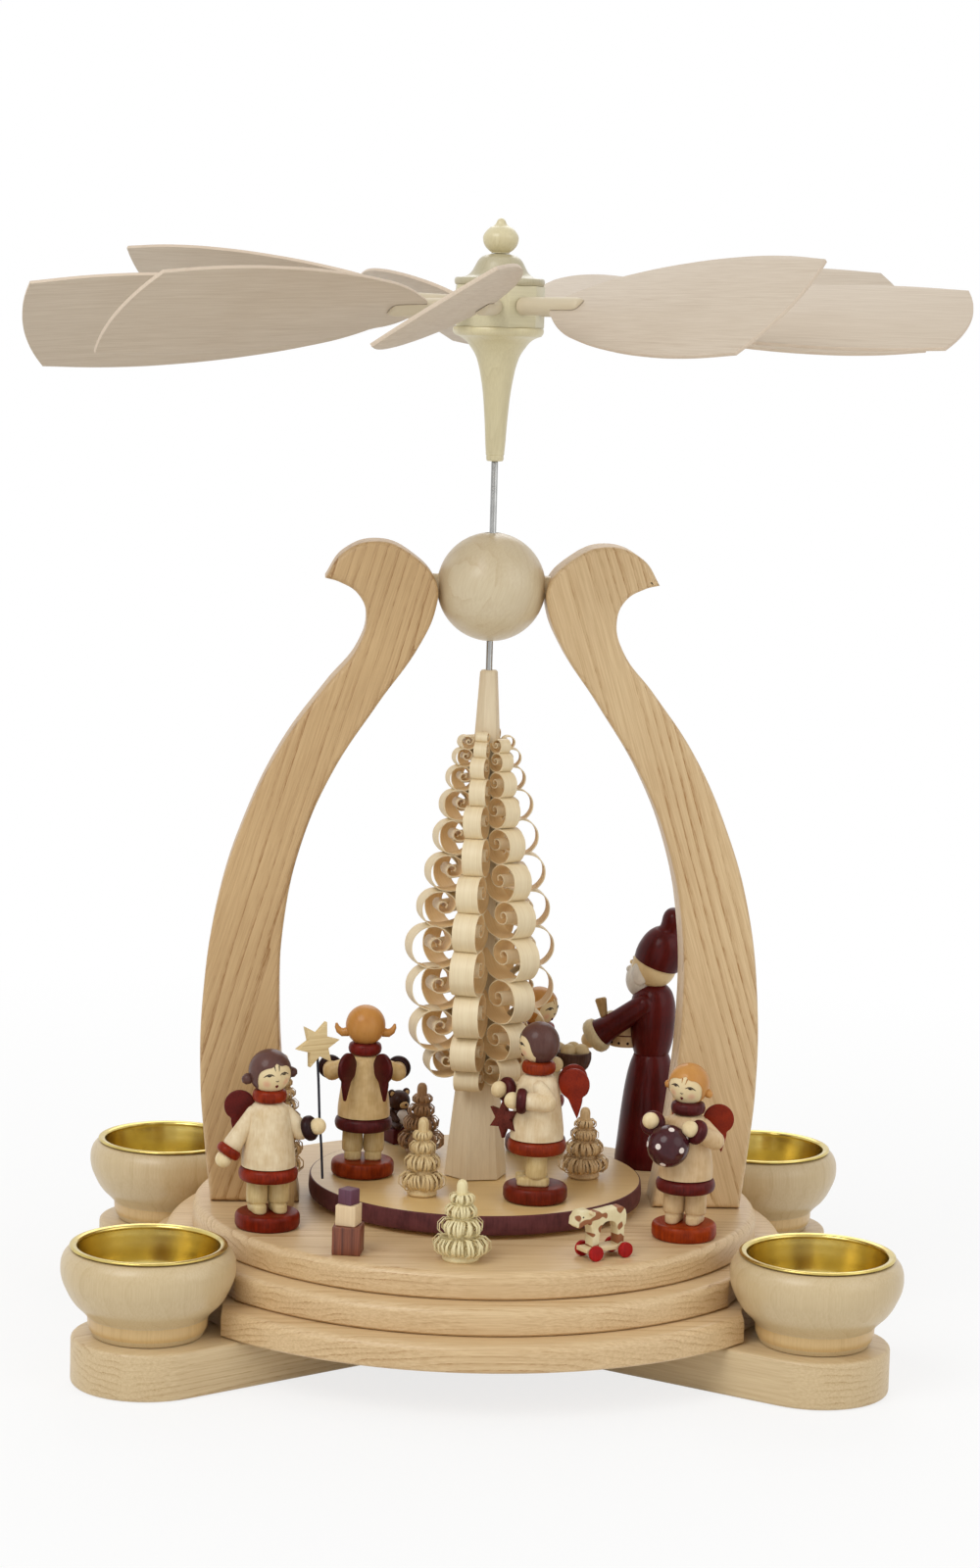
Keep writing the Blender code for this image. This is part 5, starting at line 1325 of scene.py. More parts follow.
@dataclass
class Angel:
    """An angel of turned and sawn parts on a stained disc; it faces -Y before it is turned."""

    name: str
    node: str
    body: str
    place: Point
    turn: float
    colours: AngelColours
    arms: tuple[tuple[Point | None, Point], tuple[Point | None, Point]]
    locks: Locks = Locks.FLIPS
    roll: float = 0.0
    head_turn: float = 0.0
    extras: Callable[[], list[Piece]] | None = None
    head: float = 6.55
    head_height: float = 50.9
    tall: float = 1.0
    shoulder: Point = (5.3, 37.4)
    cuff_depth: float = 4.7
    wing: float = 5.1
    wing_place: Point = (4.7, 9.5, 38.3)
    wing_angle: float = 45.0
    wing_turn: float = 0.0
    disc_profile: tuple[Point, ...] = (
        (0, 5.2, 1), (9.2, 5.2, 1), (10.0, 4.9), (10.5, 4.1), (10.6, 2.6), (10.5, 1.0), (10.0, 0.2), (9.2, 0, 1),
        (0, 0, 1),
    )
    hem_profile: tuple[Point, ...] = (
        (0, 19.9, 1), (7.9, 20.0, 1), (9.0, 19.6), (9.6, 18.5), (9.6, 16.9), (9.0, 15.8), (7.8, 15.4, 1), (0, 15.4, 1),
    )
    tunic_profile: tuple[Point, ...] = (
        (0, 41.4, 1), (3.0, 41.2), (5.0, 40.3), (6.3, 38.6), (6.95, 36.2), (7.6, 32.0), (8.3, 27.0), (8.75, 23.2),
        (8.8, 20.2, 1), (0, 20.2, 1),
    )
    collar_profile: tuple[Point, ...] = (
        (0, 45.1, 1), (4.2, 45.1, 1), (5.1, 44.7), (5.55, 43.6), (5.55, 42.6), (5.1, 41.5), (4.2, 41.0, 1),
        (0, 41.0, 1),
    )

    def build(self) -> None:
        """Makes the angel's parts, joins them and sets the angel down."""
        parts = [*self.stand(), *self.dress_parts(), *self.face(), *self.hair()]
        for side, arm, cuff in zip((-1, 1), self.arms, self.colours.cuffs):
            parts += self.arm(side, arm, cuff)
            parts.append(self.wing_part(side))
        if self.extras:
            parts += self.extras()
        set_out(self.name, parts, self.place, self.turn, self.body, "figure", self.node, self.tall)

    def paint(self, word: str, tones: Tones, **settings: float) -> Material:
        """The paint of one word and its two tones."""
        return Paint(f"lacquer_{word}_{tones[0]}", *tones, **settings).dress()

    def stand(self) -> list[Piece]:
        """Makes the disc, the shoes and the legs.

        Returns:
            The parts.
        """
        legs = self.paint("legs", self.colours.legs, grain=0.5)
        shoe_line = [
            (-2.5, -1.8), (-1.7, -5.4), (0, -6.4), (1.7, -5.4), (2.5, -1.8), (2.9, 1.6), (2.2, 3.6), (-2.2, 3.6),
            (-2.9, 1.6),
        ]
        parts = [turned("disc", self.disc_profile, self.paint("disc", self.colours.disc, grain=0.7), 56, 3)]
        leg_line = [(0, 16, 1), (3.4, 16, 1), (3.5, 8.6), (3.3, 8.2, 1), (3.1, 7.9, 1), (0, 7.8, 1)]
        for side in (-1, 1):
            shoe = sawn("shoe", shoe_line, 3.1, legs, 0.9, 4, 3)
            parts.append(set_down(shoe, (side * 3.4, 0, 6.7)))
            parts.append(set_down(turned("leg", leg_line, legs, 32, 3), (side * 3.55, 0, 0)))
        return parts

    def dress_parts(self) -> list[Piece]:
        """Turns the hem, the tunic and the collar.

        Returns:
            The parts.
        """
        return [
            turned("hem", self.hem_profile, self.paint("hem", self.colours.hem, grain=0.7), 56, 3),
            turned("tunic", self.tunic_profile, self.paint("tunic", self.colours.tunic, grain=0.4), 56, 4),
            turned("collar", self.collar_profile, self.paint("collar", self.colours.collar, grain=0.7), 48, 3),
        ]

    def face(self) -> list[Piece]:
        """Makes the head with its painted eyes, nose, mouth and fringe.

        Returns:
            The parts, at the height of the head.
        """
        reach = self.head + 0.02
        dark = self.paint("lash", ("2e1f1f", "1c1212"), coat=0.1)
        fringe = dark if self.colours.hair == PLUM_HAIR else self.paint("fringe", ("b57a3c", "9a642c"))
        mouth = self.paint("mouth", ("6a1416", "4c0e10"))
        skin = FacePaint(f"lacquer_face_{self.colours.skin[0]}", *self.colours.skin, ball=self.head).dress()
        parts = [ball("head", (self.head, self.head, self.head * 1.02), (0, 0, 0), skin, 40, 28)]
        for side in (-1, 1):
            lid = [(side * x, z) for x, z in ((1.0, -0.2), (1.7, 0.32), (2.7, 0.45), (3.5, 0.1), (4.2, -0.4))]
            eye = [(side * x, z) for x, z in ((1.8, 0.0), (2.5, -0.1), (3.2, -0.12))]
            parts.append(stroke("lid", lid, reach, 0.21, dark))
            parts.append(stroke("eye", eye, reach - 0.05, 0.28, dark))
        parts.append(stroke("nose", [(-0.55, -1.95), (0, -2.2), (0.55, -1.95)], reach, 0.18, dark))
        parts.append(stroke("mouth", [(-0.6, -3.6), (0, -3.75), (0.6, -3.6)], reach - 0.25, 0.75, mouth))
        for x, low in ((-0.45, 1.35), (0.75, 1.15)):
            points = [(x * 1.7, 3.8), (x * 1.3, 2.6), (x, low)]
            parts.append(stroke("fringe", points, reach, 0.2, fringe))
        return self.raised(parts)

    def raised(self, parts: list[Piece]) -> list[Piece]:
        """Lifts the parts of the head to its height and turns them with it."""
        return [set_down(part, (0, 0, self.head_height), (0, self.roll, self.head_turn)) for part in parts]

    def hair(self) -> list[Piece]:
        """Makes the painted cap of hair with its parting, and the locks at its sides.

        Returns:
            The parts, at the height of the head.
        """
        tone = self.paint("hair", self.colours.hair, grain=0.25, patch=7.0, coat=0.25)
        reach = self.head + 0.14
        cap = ball("cap", (reach, reach, reach * 1.02), (0, 0, 0), tone, 56, 40)
        opening = [
            (0.3, 3.6, 1), (1.7, 2.7), (3.8, 2.4), (5.3, 1.1), (5.8, -1.2), (5.3, -4.0), (3.8, -9, 1), (-3.8, -9, 1),
            (-5.3, -4.0), (-5.7, -1.2), (-5.1, 1.0), (-3.4, 2.2), (-1.3, 2.6),
        ]
        tool = sawn("tool", opening, 12, tone, 0.05, 6, 0)
        set_down(tool, (0, -7.4, 0), (90, 0, 0))
        finish(cut(cap, tool), tone)
        parts = [cap]
        if self.locks.value:
            radii = [radius for _, _, _, radius in self.locks.value]
            for side in (-1, 1):
                parts.append(rod("lock", [(side * x, y, z) for x, y, z, _ in self.locks.value], radii, tone, 8))
        return self.raised(parts)

    def arm(self, side: int, arm: tuple[Point | None, Point], tones: Tones) -> list[Piece]:
        """Turns a sleeve, straight or bent at the elbow, its cuff and the ball of the hand.

        Args:
            side: -1 for the angel's right, which is at -X, and 1 for its left.
            arm: The elbow, or None on a straight arm, and the hand.
            tones: The stains of the cuff.

        Returns:
            The parts.
        """
        elbow, hand = arm
        sleeve = self.paint("tunic", self.colours.tunic, grain=0.4)
        across, up = self.shoulder
        shoulder = Vector((side * across, 0, up))
        start = Vector(elbow) if elbow else shoulder
        hand = Vector(hand)
        way = (hand - start).normalized()
        cuff = hand - way * self.cuff_depth
        parts = []
        if elbow:
            parts.append(limb("upper_arm", shoulder, start, 2.5, 3.1, sleeve))
            parts.append(limb("forearm", start + way * 0.4, cuff, 3.05, 2.7, sleeve))
        else:
            parts.append(limb("sleeve", shoulder, cuff - way, 2.4, 3.2, sleeve))
        band = [(0, 2.6), (0.2, 3.5), (0.8, 4.0), (1.65, 4.15), (2.5, 4.0), (3.1, 3.5), (3.3, 2.5)]
        parts.append(spun_along("cuff", cuff, way, band, self.paint("cuff", tones, grain=0.6), 12))
        skin = self.paint("hand", self.colours.skin)
        parts.append(ball("hand", (2.7, 2.7, 2.7), hand, skin, 28, 18))
        return parts

    def wing_part(self, side: int) -> Piece:
        """Saws a round wing with a pointed tail.

        Args:
            side: -1 or 1 for the side that it is on.

        Returns:
            The wing.
        """
        size = self.wing
        rounded = [(size * x, size * z) for x, z, _ in (on_circle(angle, 1.0) for angle in range(-56, 250, 20))]
        tail = [(-0.34, -1.0, 1), (-0.1, -1.5), (0.24, -2.15, 1), (0.42, -1.55), (0.55, -1.0)]
        outline = [*rounded, *[(size * x, size * z, *corner) for x, z, *corner in tail]]
        wing = sawn("wing", outline, 1.5, self.paint("wing", self.colours.wings, grain=0.6), 0.45, 4, 2)
        across, back, up = self.wing_place
        set_down(wing, (side * across, back, up), (90, 0, 90 - side * (90 - self.wing_angle)))
        return set_down(wing, turn=(0, 0, self.wing_turn))


@dataclass(frozen=True)
class FacePaint:
    """Cream lacquer on a turned ball with rosy cheeks; the cheeks follow the ball's own coordinates."""

    name: str
    colour: str
    deep: str
    ball: float
    rose: str = "dd8f7c"
    cheek: Point = (0.476, -0.77, -0.41)

    def dress(self) -> Material:
        """Makes the material once.

        Returns:
            The material.
        """
        if self.name in bpy.data.materials:
            return bpy.data.materials[self.name]
        base = Paint(self.name, self.colour, self.deep, roughness=0.32, grain=0.15, patch=9.0).dress()
        tree = base.node_tree
        place = add_node(tree, "Attribute", attribute_name=LOCAL).outputs["Vector"]
        apart = add_node(tree, "VectorMath", links={0: place}, operation="ABSOLUTE")
        sides = add_node(tree, "SeparateXYZ", links={0: apart})
        heights = add_node(tree, "SeparateXYZ", links={0: place})
        folded = add_node(tree, "CombineXYZ", links={0: sides, 1: heights.outputs[1], 2: heights.outputs[2]})
        cheek = [self.ball * share for share in self.cheek]
        away = add_node(tree, "VectorMath", {1: cheek}, {0: folded}, operation="DISTANCE")
        blush = add_node(
            tree, "MapRange", {1: 0.2, 2: 2.0, 3: 0.5, 4: 0.0}, {0: away.outputs["Value"]},
            interpolation_type="SMOOTHSTEP",
        )
        return paint_over(base, blush, self.rose)


def star(name: str, radius: float, turn: float, thickness: float, material: Material) -> Piece:
    """Saws a six-pointed star.

    Args:
        name: The star's name.
        radius: Its reach to a point, in mm.
        turn: The angle of its first point in degrees.
        thickness: Its thickness in mm.
        material: The material for all of it.

    Returns:
        The star, upright, facing -Y.
    """
    points = []
    for corner in range(12):
        x, z, _ = on_circle(turn + 30 * corner, radius * (0.5 if corner % 2 else 1.0))
        points.append((x, z, 1))
    return set_down(sawn(name, points, thickness, material, 0.2, 1, 1), turn=(90, 0, 0))


@dataclass
class StarStaff:
    """The wire staff with its pale star, in the frame of the angel that holds it."""

    foot: Point = (17.2, -4.0, 16.2)
    top: Point = (14.6, -4.0, 57.5)
    star_place: Point = (14.4, -4.9, 61.0)
    place: Point = (-69.5, -41.2, 42.4)
    turn: float = 12.0

    def build(self) -> None:
        """Draws the wire and saws the star."""
        wire = Metal("wire_blued", "34343c", "1e1e26", roughness=0.38).dress()
        low, high = Vector(self.foot), Vector(self.top)
        steps = (0, 0.25, 0.5, 0.75, 1)
        points = [low.lerp(high, share) + Vector((0.12 * math.sin(9 * share), 0, 0)) for share in steps]
        points += [high + Vector(step) for step in ((0.3, -0.1, 0.7), (0.1, -0.5, 1.3), (-0.3, -0.9, 1.1))]
        parts = [rod("staff", points, [0.42] * len(points), wire, 3)]
        linden = Wood("linden_star", "e3cc9a", "b8955c", ring=1.6, rings=0.35, fibre=0.4, fibres=0.4)
        flat_star = star("star", 7.8, 8.0, 2.2, linden.dress(Grain.ALONG_X))
        parts.append(set_down(flat_star, self.star_place, (0, 0, 16)))
        set_out("staff_with_star", parts, self.place, self.turn, "base", "brass", "star_staff")


def held_star() -> list[Piece]:
    """Makes the dark star that the angel in front of the tree holds, half turned to the viewer."""
    tone = Paint("stain_star_brown", "74352c", "4e201c", roughness=0.5, coat=0.05, grain=0.7).dress()
    return [set_down(star("held_star", 6.3, 90.0, 1.8, tone), (0.4, -11.0, 26.2), (0, 0, 45))]


def held_ball() -> list[Piece]:
    """Makes the spotted toy ball."""
    plum = Paint("lacquer_plum_ball", "4a1e24", "361218", roughness=0.25, coat=0.4, grain=0.3).dress()
    white = Paint("lacquer_white", "f0e4dc", "e0d0c6", grain=0.1).dress()
    radius, centre = 6.9, Vector((-4.2, -11.0, 32.4))
    parts = [ball("toy_ball", (radius,) * 3, centre, plum, 40, 28)]
    tilt = Matrix.Rotation(math.radians(9.5), 3, "Z") @ Matrix.Rotation(math.radians(-12), 3, "X")
    dot = [(-0.1, 1.0), (0.06, 0.95), (0.1, 0.6), (0.11, 0.05)]
    for x, z in ((0.13, 0.77), (-0.47, -0.04), (0.64, -0.18), (-0.22, -0.88), (-0.97, 0.05), (0.86, 0.48)):
        depth = math.sqrt(max(1 - x * x - z * z, 0.0))
        for side in (-1, 1):
            way = tilt @ Vector((x, side * depth, z))
            parts.append(spun_along("dot", centre + way * (radius - 0.02), way, dot, white, 6))
    return parts


def held_bowl() -> list[Piece]:
    """Makes the dark bowl with three pale balls in it."""
    brown = Paint("stain_bowl_brown", "62463a", "442c24", roughness=0.45, grain=0.6).dress()
    pale = Paint("lacquer_pale_ball", "dcc9a0", "c3a877").dress()
    profile = [
        (0, 35.2, 1), (4.6, 36.2), (5.2, 38.4), (5.7, 38.6), (6.0, 37.4), (5.7, 35.0), (4.4, 32.6), (2.6, 31.4, 1),
        (0, 31.4, 1),
    ]
    parts = [turned("bowl", profile, brown, 48, 4)]
    for number in range(3):
        parts.append(ball("berry", (2.8, 2.8, 2.8), on_circle(40 + number * 120, 2.6, 38.8), pale, 24, 16))
    return [set_down(part, (3.0, -12.9, -2.6)) for part in parts]


PLUM_HAIR = ("62423b", "4a2d28")
ORANGE_HAIR = ("cb9350", "b97c3a")
RED = ("98300f", "6c1c0a")
MAROON = ("5a2020", "3c1214")
BLACKENED = ("33191a", "221012")

ANGELS = (
    Angel(
        "angel_with_star_staff", "angel_star_bearer", "base", (-69.5, -41.2, 42.4), 12.0,
        AngelColours(
            PLUM_HAIR, RED, ("922a10", "681a0a"), ("86240c", "5c1606"), ("6c1f1a", "4d1512"), (RED, BLACKENED),
        ),
        ((None, (-15.0, -0.9, 22.8)), ((10.2, -1.0, 31.4), (15.2, -4.6, 33.4))),
        Locks.BUNS, -5.0, 9.0, head=6.9, tall=1.012, wing_place=(6.4, 9.0, 38.3), wing_angle=28.0, wing_turn=14.0,
    ),
    Angel(
        "angel_behind_turntable", "angel_plate_left", "rotor", (-38.2, -1.4, 50.7), 180.0,
        AngelColours(
            ORANGE_HAIR, ("7c221a", "5a1814"), MAROON, ("96380e", "6a2008"), ("571a18", "3f1212"),
            (BLACKENED, BLACKENED), ("dcc08e", "c2a069"),
        ),
        (((-10.9, 0.4, 35.0), (-11.9, -7.6, 35.8)), ((10.9, 0.4, 35.0), (11.9, -7.6, 35.8))),
        wing_place=(6.0, 9.5, 38.0), wing_angle=58.0,
    ),
    Angel(
        "angel_with_dark_star", "angel_plate_front", "rotor", (18.2, -33.1, 50.7), -90.0,
        AngelColours(
            PLUM_HAIR, ("963612", "70220c"), ("943414", "6c200c"), ("782410", "561708"), ("8e2a12", "701d0c"),
            (MAROON, MAROON),
        ),
        (((-8.6, -2.6, 33.4), (-3.4, -12.6, 34.8)), ((9.0, 2.6, 33.4), (7.4, -8.8, 33.6))),
        Locks.NONE, extras=held_star, tall=1.03, wing_place=(3.5, 11.6, 38.3), wing_angle=72.0,
    ),
    Angel(
        "angel_with_bowl", "angel_plate_rear", "rotor", (22.6, 37.0, 50.7), 55.0,
        AngelColours(ORANGE_HAIR, RED, RED, MAROON, MAROON, (MAROON, MAROON)),
        (((-8.6, -3.6, 33.5), (-5.6, -10.6, 32.6)), ((9.4, -3.6, 33.5), (8.4, -10.4, 32.4))), extras=held_bowl,
    ),
    Angel(
        "angel_with_spotted_ball", "angel_ball_bearer", "base", (66.2, -47.0, 42.4), -16.0,
        AngelColours(
            ORANGE_HAIR, ("5b2020", "431514"), ("6c1e1a", "4a1412"), ("a63c0c", "7a2606"), ("922c10", "76200c"),
            (MAROON, MAROON), ("dfc49c", "c8a67a"), ("dcc096", "c2a173"),
        ),
        (((-9.6, -3.0, 36.4), (-10.4, -10.0, 40.0)), ((9.8, -3.8, 33.6), (2.6, -10.4, 38.4))),
        Locks.SMALL_BUNS, 8.0, -9.0, held_ball, wing_place=(6.8, 9.0, 38.3), wing_angle=34.0, wing_turn=-16.0,
    ),
)


@dataclass
class GiftBringer:
    """The bearded figure in a robe and a cap, with a drum on its arms."""

    place: Point = (63.8, 52.5, 42.4)
    turn: float = -118.0
    head: float = 7.9
    head_height: float = 71.3
    lean: float = -12.0
    shoulder: Point = (6.0, -0.6, 58.4)
    wrist: Point = (8.4, -15.8, 47.2)
    drum: Point = (0, -10.0, 46.6)
    stick: Point = (6.8, -14.4, 47.6)
    robe: tuple[Point, ...] = (
        (0, 65.4, 1), (3.0, 65.2), (5.6, 63.6), (7.4, 60.0), (8.1, 54.6), (7.9, 48.4), (6.9, 42.6), (6.15, 40.1, 1),
        (6.0, 39.9, 1), (6.2, 39.7, 1), (7.4, 36.4), (8.7, 30.6), (9.9, 22.0), (11.0, 11.0), (11.8, 0.8),
        (11.5, 0.0, 1), (0, 0, 1),
    )
    cap: tuple[Point, ...] = (
        (0, 21.6, 1), (2.2, 21.2), (3.8, 19.4), (4.1, 17.2), (3.8, 14.9), (3.9, 13.4), (5.2, 12.2), (6.9, 9.8),
        (8.0, 6.4), (8.4, 2.8), (8.2, 0.4, 1), (7.5, 0.2, 1), (0, 0.6, 1),
    )

    def build(self) -> None:
        """Makes the figure's parts, joins them and sets the figure down."""
        robe = Paint("lacquer_robe", "5a1514", "3c0b0c", roughness=0.36, coat=0.12, grain=0.45, patch=9.0).dress()
        parts = [turned("robe", self.robe, robe, 64, 4), *self.head_parts(robe), *self.load()]
        for side in (-1, 1):
            parts += self.arm(side, robe)
        set_out("robed_gift_bringer", parts, self.place, self.turn, "base", "robe", "gift_bringer")

    def head_parts(self, robe: Material) -> list[Piece]:
        """Makes the head, the cap, the hair, the beard and the face.

        Args:
            robe: The lacquer of the robe, which the cap has too.

        Returns:
            The parts.
        """
        skin = FacePaint("lacquer_face_elder", "e6cfa2", "d2b482", ball=self.head).dress()
        grey = Paint("lacquer_beard", "ece6dc", "d0cac0", roughness=0.5, coat=0.1, grain=0.4).dress()
        dark = Paint("lacquer_lash_2e1f1f", "2e1f1f", "1c1212").dress()
        parts = [ball("head", (self.head,) * 3, (0, 0, 0), skin, 40, 28)]
        cap = turned("cap", self.cap, robe, 56, 4)
        parts.append(set_down(cap, (0, 0.6, 0.8), (self.lean - 4, 0, 0)))
        beard = ball("beard", (6.4, 5.6, 7.0), (0, -4.1, -5.2), grey, 36, 24)
        moustache = limb("moustache", (-2.8, -7.9, -2.2), (2.8, -7.9, -2.2), 1.3, 1.3, grey)
        parts += [beard, moustache]
        reach = self.head + 0.02
        for side in (-1, 1):
            brow = [(side * x, z) for x, z in ((1.2, 1.9), (2.4, 2.3), (3.6, 1.9))]
            eye = [(side * x, z) for x, z in ((1.6, 0.9), (2.3, 1.0), (3.0, 0.9))]
            parts.append(stroke("brow", brow, reach, 0.3, grey))
            parts.append(stroke("eye", eye, reach - 0.05, 0.24, dark))
            parts.append(ball("lock", (1.7, 3.2, 4.3), (side * 5.9, -2.8, -2.4), grey, 24, 16))
        parts.append(ball("nose", (0.95, 1.1, 0.95), (0, -self.head - 0.3, -0.2), skin, 20, 14))
        for part in parts:
            set_down(part, (0, 0, self.head_height), (self.lean * 0.4, 0, 0))
        return parts

    def arm(self, side: int, robe: Material) -> list[Piece]:
        """Turns a flared sleeve, its cream cuff and the hand.

        Args:
            side: -1 or 1.
            robe: The lacquer of the robe.

        Returns:
            The parts.
        """
        cream = Paint("lacquer_cuff_cream", "dccba4", "b9a883", grain=0.4).dress()
        skin = Paint("lacquer_hand", "e6cfa2", "d2b482").dress()
        start, end = (Vector((side * x, y, z)) for x, y, z in (self.shoulder, self.wrist))
        way = end - start
        length = way.length
        sleeve = [
            (-3.4, 0.5), (-2.8, 2.4), (-1.6, 3.4), (0, 3.9), (length - 4, 4.2), (length - 1, 4.8), (length + 0.6, 5.1),
            (length + 0.9, 4.5),
        ]
        cuff = [(0.2, 3.4), (0.3, 5.4), (0.9, 6.1), (2.2, 6.4), (3.6, 6.1), (4.4, 5.3), (4.6, 3.0)]
        hand = end + way.normalized() * 5.2
        return [
            spun_along("sleeve", start, way, sleeve, robe, 12), spun_along("cuff", end, way, cuff, cream, 12),
            ball("hand", (3.0, 3.0, 3.0), hand, skin, 28, 18),
        ]

    def load(self) -> list[Piece]:
        """Makes the drum with its studs and line, and its stick.

        Returns:
            The parts.
        """
        pale = Paint("lacquer_drum", "dcc4a2", "c2a47d", grain=0.5).dress()
        dark = STUD.dress()
        wine = Paint("lacquer_line", "6a2326", "4a1619").dress()
        stick = Paint("linden_stick", "c9ab7c", "a98858", grain=0.7).dress()
        centre = Vector(self.drum)
        upright = (0, 0, 1)
        body = [(-4.8, 5.3), (-4.7, 5.9), (-4.3, 6.1), (4.3, 6.1), (4.7, 5.9), (4.8, 5.3)]
        line = [(-0.9, 6.05), (-0.6, 6.25), (-0.3, 6.05)]
        parts = [spun_along("drum", centre, upright, body, pale, 14)]
        parts.append(spun_along("line", centre, upright, line, wine, 14))
        for angle in range(0, 360, 30):
            way = Vector(on_circle(angle, 1.0))
            place = centre + way * 6.0 - Vector((0, 0, 3.2))
            parts.append(spun_along("stud", place, way, [(-0.2, 0.55), (0.12, 0.5), (0.2, 0.1)], dark, 4))
        shaft = [(0, 1.1), (5, 1.3), (9, 1.8), (11.2, 2.1), (11.8, 1.6)]
        parts.append(spun_along("stick", self.stick, (-0.1, -0.3, 1), shaft, stick, 8))
        return parts


@dataclass
class ChipTree:
    """A small tree that is turned so that its shavings stay on it as rings of curls."""

    name: str
    node: str
    body: str
    place: Point
    radius: float
    height: float
    colour: str
    deep: str
    turn: float = 0.0
    tiers: tuple[tuple[float, float, float], ...] = (
        (0.175, 0.125, 1.0), (0.405, 0.112, 0.78), (0.6, 0.088, 0.57), (0.76, 0.066, 0.45),
    )
    trunk: float = 0.0
    seed: int = 5

    def build(self) -> None:
        """Makes the stem and its tiers, joins them and sets the tree down."""
        chip = Wood(
            f"shaving_{self.name}", self.colour, self.deep, ring=1.4, rings=0.25, fibre=0.3, fibres=0.45,
            roughness=0.55,
        ).dress(Grain.ALONG_Z)
        tall, wide = self.height, self.radius
        if self.trunk:
            foot = [(self.trunk, 0.8), (self.trunk, self.tiers[0][0] * tall - 3)]
        else:
            foot = [(wide * 0.62, 0.5), (wide * 0.6, 1.4)]
        low = self.tiers[0][0] * tall
        high = self.tiers[-1][0] * tall
        profile = [
            (0, tall, 1), (1.0, tall - 0.3), (1.65, tall - 1.4), (1.75, high + 2), (wide * 0.26, high - 1),
            (wide * 0.5 if not self.trunk else wide * 0.42, low), *reversed(foot), (foot[0][0] - 0.4, 0, 1), (0, 0, 1),
        ]
        parts = [turned("stem", profile, chip, 32, 3)]
        chance = random.Random(self.seed)
        for share, half, reach in self.tiers:
            parts += self.tier(share * tall, half * tall, reach * wide, chip, chance)
        set_out(self.name, parts, self.place, self.turn, self.body, "chips", self.node)

    def tier(self, height: float, half: float, reach: float, chip: Material, chance: random.Random) -> list[Piece]:
        """Bends one curl and copies it round the stem.

        Args:
            height: The middle of the tier in mm.
            half: Half its height.
            reach: Its radius.
            chip: The material.
            chance: What makes the curls differ.

        Returns:
            The curls.
        """
        count = max(int(math.tau * reach / 1.2), 9)
        models = []
        for tight in (0.07, 0.1):
            path = []
            for step in range(12):
                across, up, _ = on_circle(205 - step * 44, half * (1.0 - tight * max(step - 3, 0)))
                path.append((reach - half + across, 0.0, up))
            models.append(ribbon("chip", path, 0.78, 0.18, chip))
        curls = []
        for number in range(count):
            curl = copy_of(chance.choice(models), "chip_curl")
            size = 1 + chance.uniform(-0.16, 0.1)
            set_down(curl, turn=(chance.uniform(-13, 13), 0, 0), size=(size, 1, size))
            turn = 360 * number / count + chance.uniform(-4, 4)
            curls.append(set_down(curl, (0, 0, height), (0, 0, turn)))
        discard(*models)
        return curls


def ribbon(name: str, path: Sequence[Point], width: float, thickness: float, material: Material) -> Piece:
    """Extrudes a strip of shaving along a path in the XZ plane.

    Args:
        name: The strip's name.
        path: The places along it, in mm.
        width: Its width along Y.
        thickness: Its thickness.
        material: The material for all of it.

    Returns:
        The strip.
    """
    deselect()
    bpy.ops.mesh.primitive_plane_add(size=MM, location=(0, 0, 0))
    strip = bpy.context.object
    strip.name = name
    with editing(strip):
        bpy.ops.mesh.merge(type="CENTER")
        bpy.ops.transform.translate(value=Vector(path[0]) * MM)
        for before, after in zip(path, path[1:]):
            step = (Vector(after) - Vector(before)) * MM
            bpy.ops.mesh.extrude_region_move(TRANSFORM_OT_translate={"value": step})
        bpy.ops.mesh.select_all(action="SELECT")
        bpy.ops.transform.translate(value=(0, -width * MM / 2, 0))
        bpy.ops.mesh.extrude_region_move(TRANSFORM_OT_translate={"value": (0, width * MM, 0)})
        bpy.ops.mesh.select_all(action="SELECT")
        bpy.ops.mesh.normals_make_consistent(inside=False)
    modified(strip, "SOLIDIFY", thickness=thickness * MM, offset=0.0)
    return finish(strip, material, 60)


@dataclass
class CubeStack:
    """Three wooden cubes on each other, each a little turned."""

    place: Point = (-43.5, -72.1, 42.4)
    sizes: tuple[float, ...] = (9.1, 6.7, 5.0)
    turns: tuple[float, ...] = (-9.0, -20.0, -38.0)

    def build(self) -> None:
        """Makes the cubes."""
        woods = (
            Wood("walnut_bare", "8a4c32", "542a1c", 1.1, 0.7, 0.35, 0.6, 0.4, roughness=0.5),
            Wood("linden_bare", "e6cda6", "cfb086", 1.6, 0.2, 0.4, 0.3, roughness=0.55),
            Wood("purpleheart_bare", "68394f", "4c2839", 1.5, 0.3, 0.35, 0.5, roughness=0.45),
        )
        parts = []
        low = 0.0
        for size, turn, wood in zip(self.sizes, self.turns, woods):
            cube = block("cube", (size,) * 3, (0, 0, low + size / 2), wood.dress(Grain.ALONG_Z), 0.35)
            parts.append(set_down(cube, turn=(0, 0, turn)))
            low += size
        set_out("three_cubes", parts, self.place, 0.0, "base", "toy", "cube_stack")


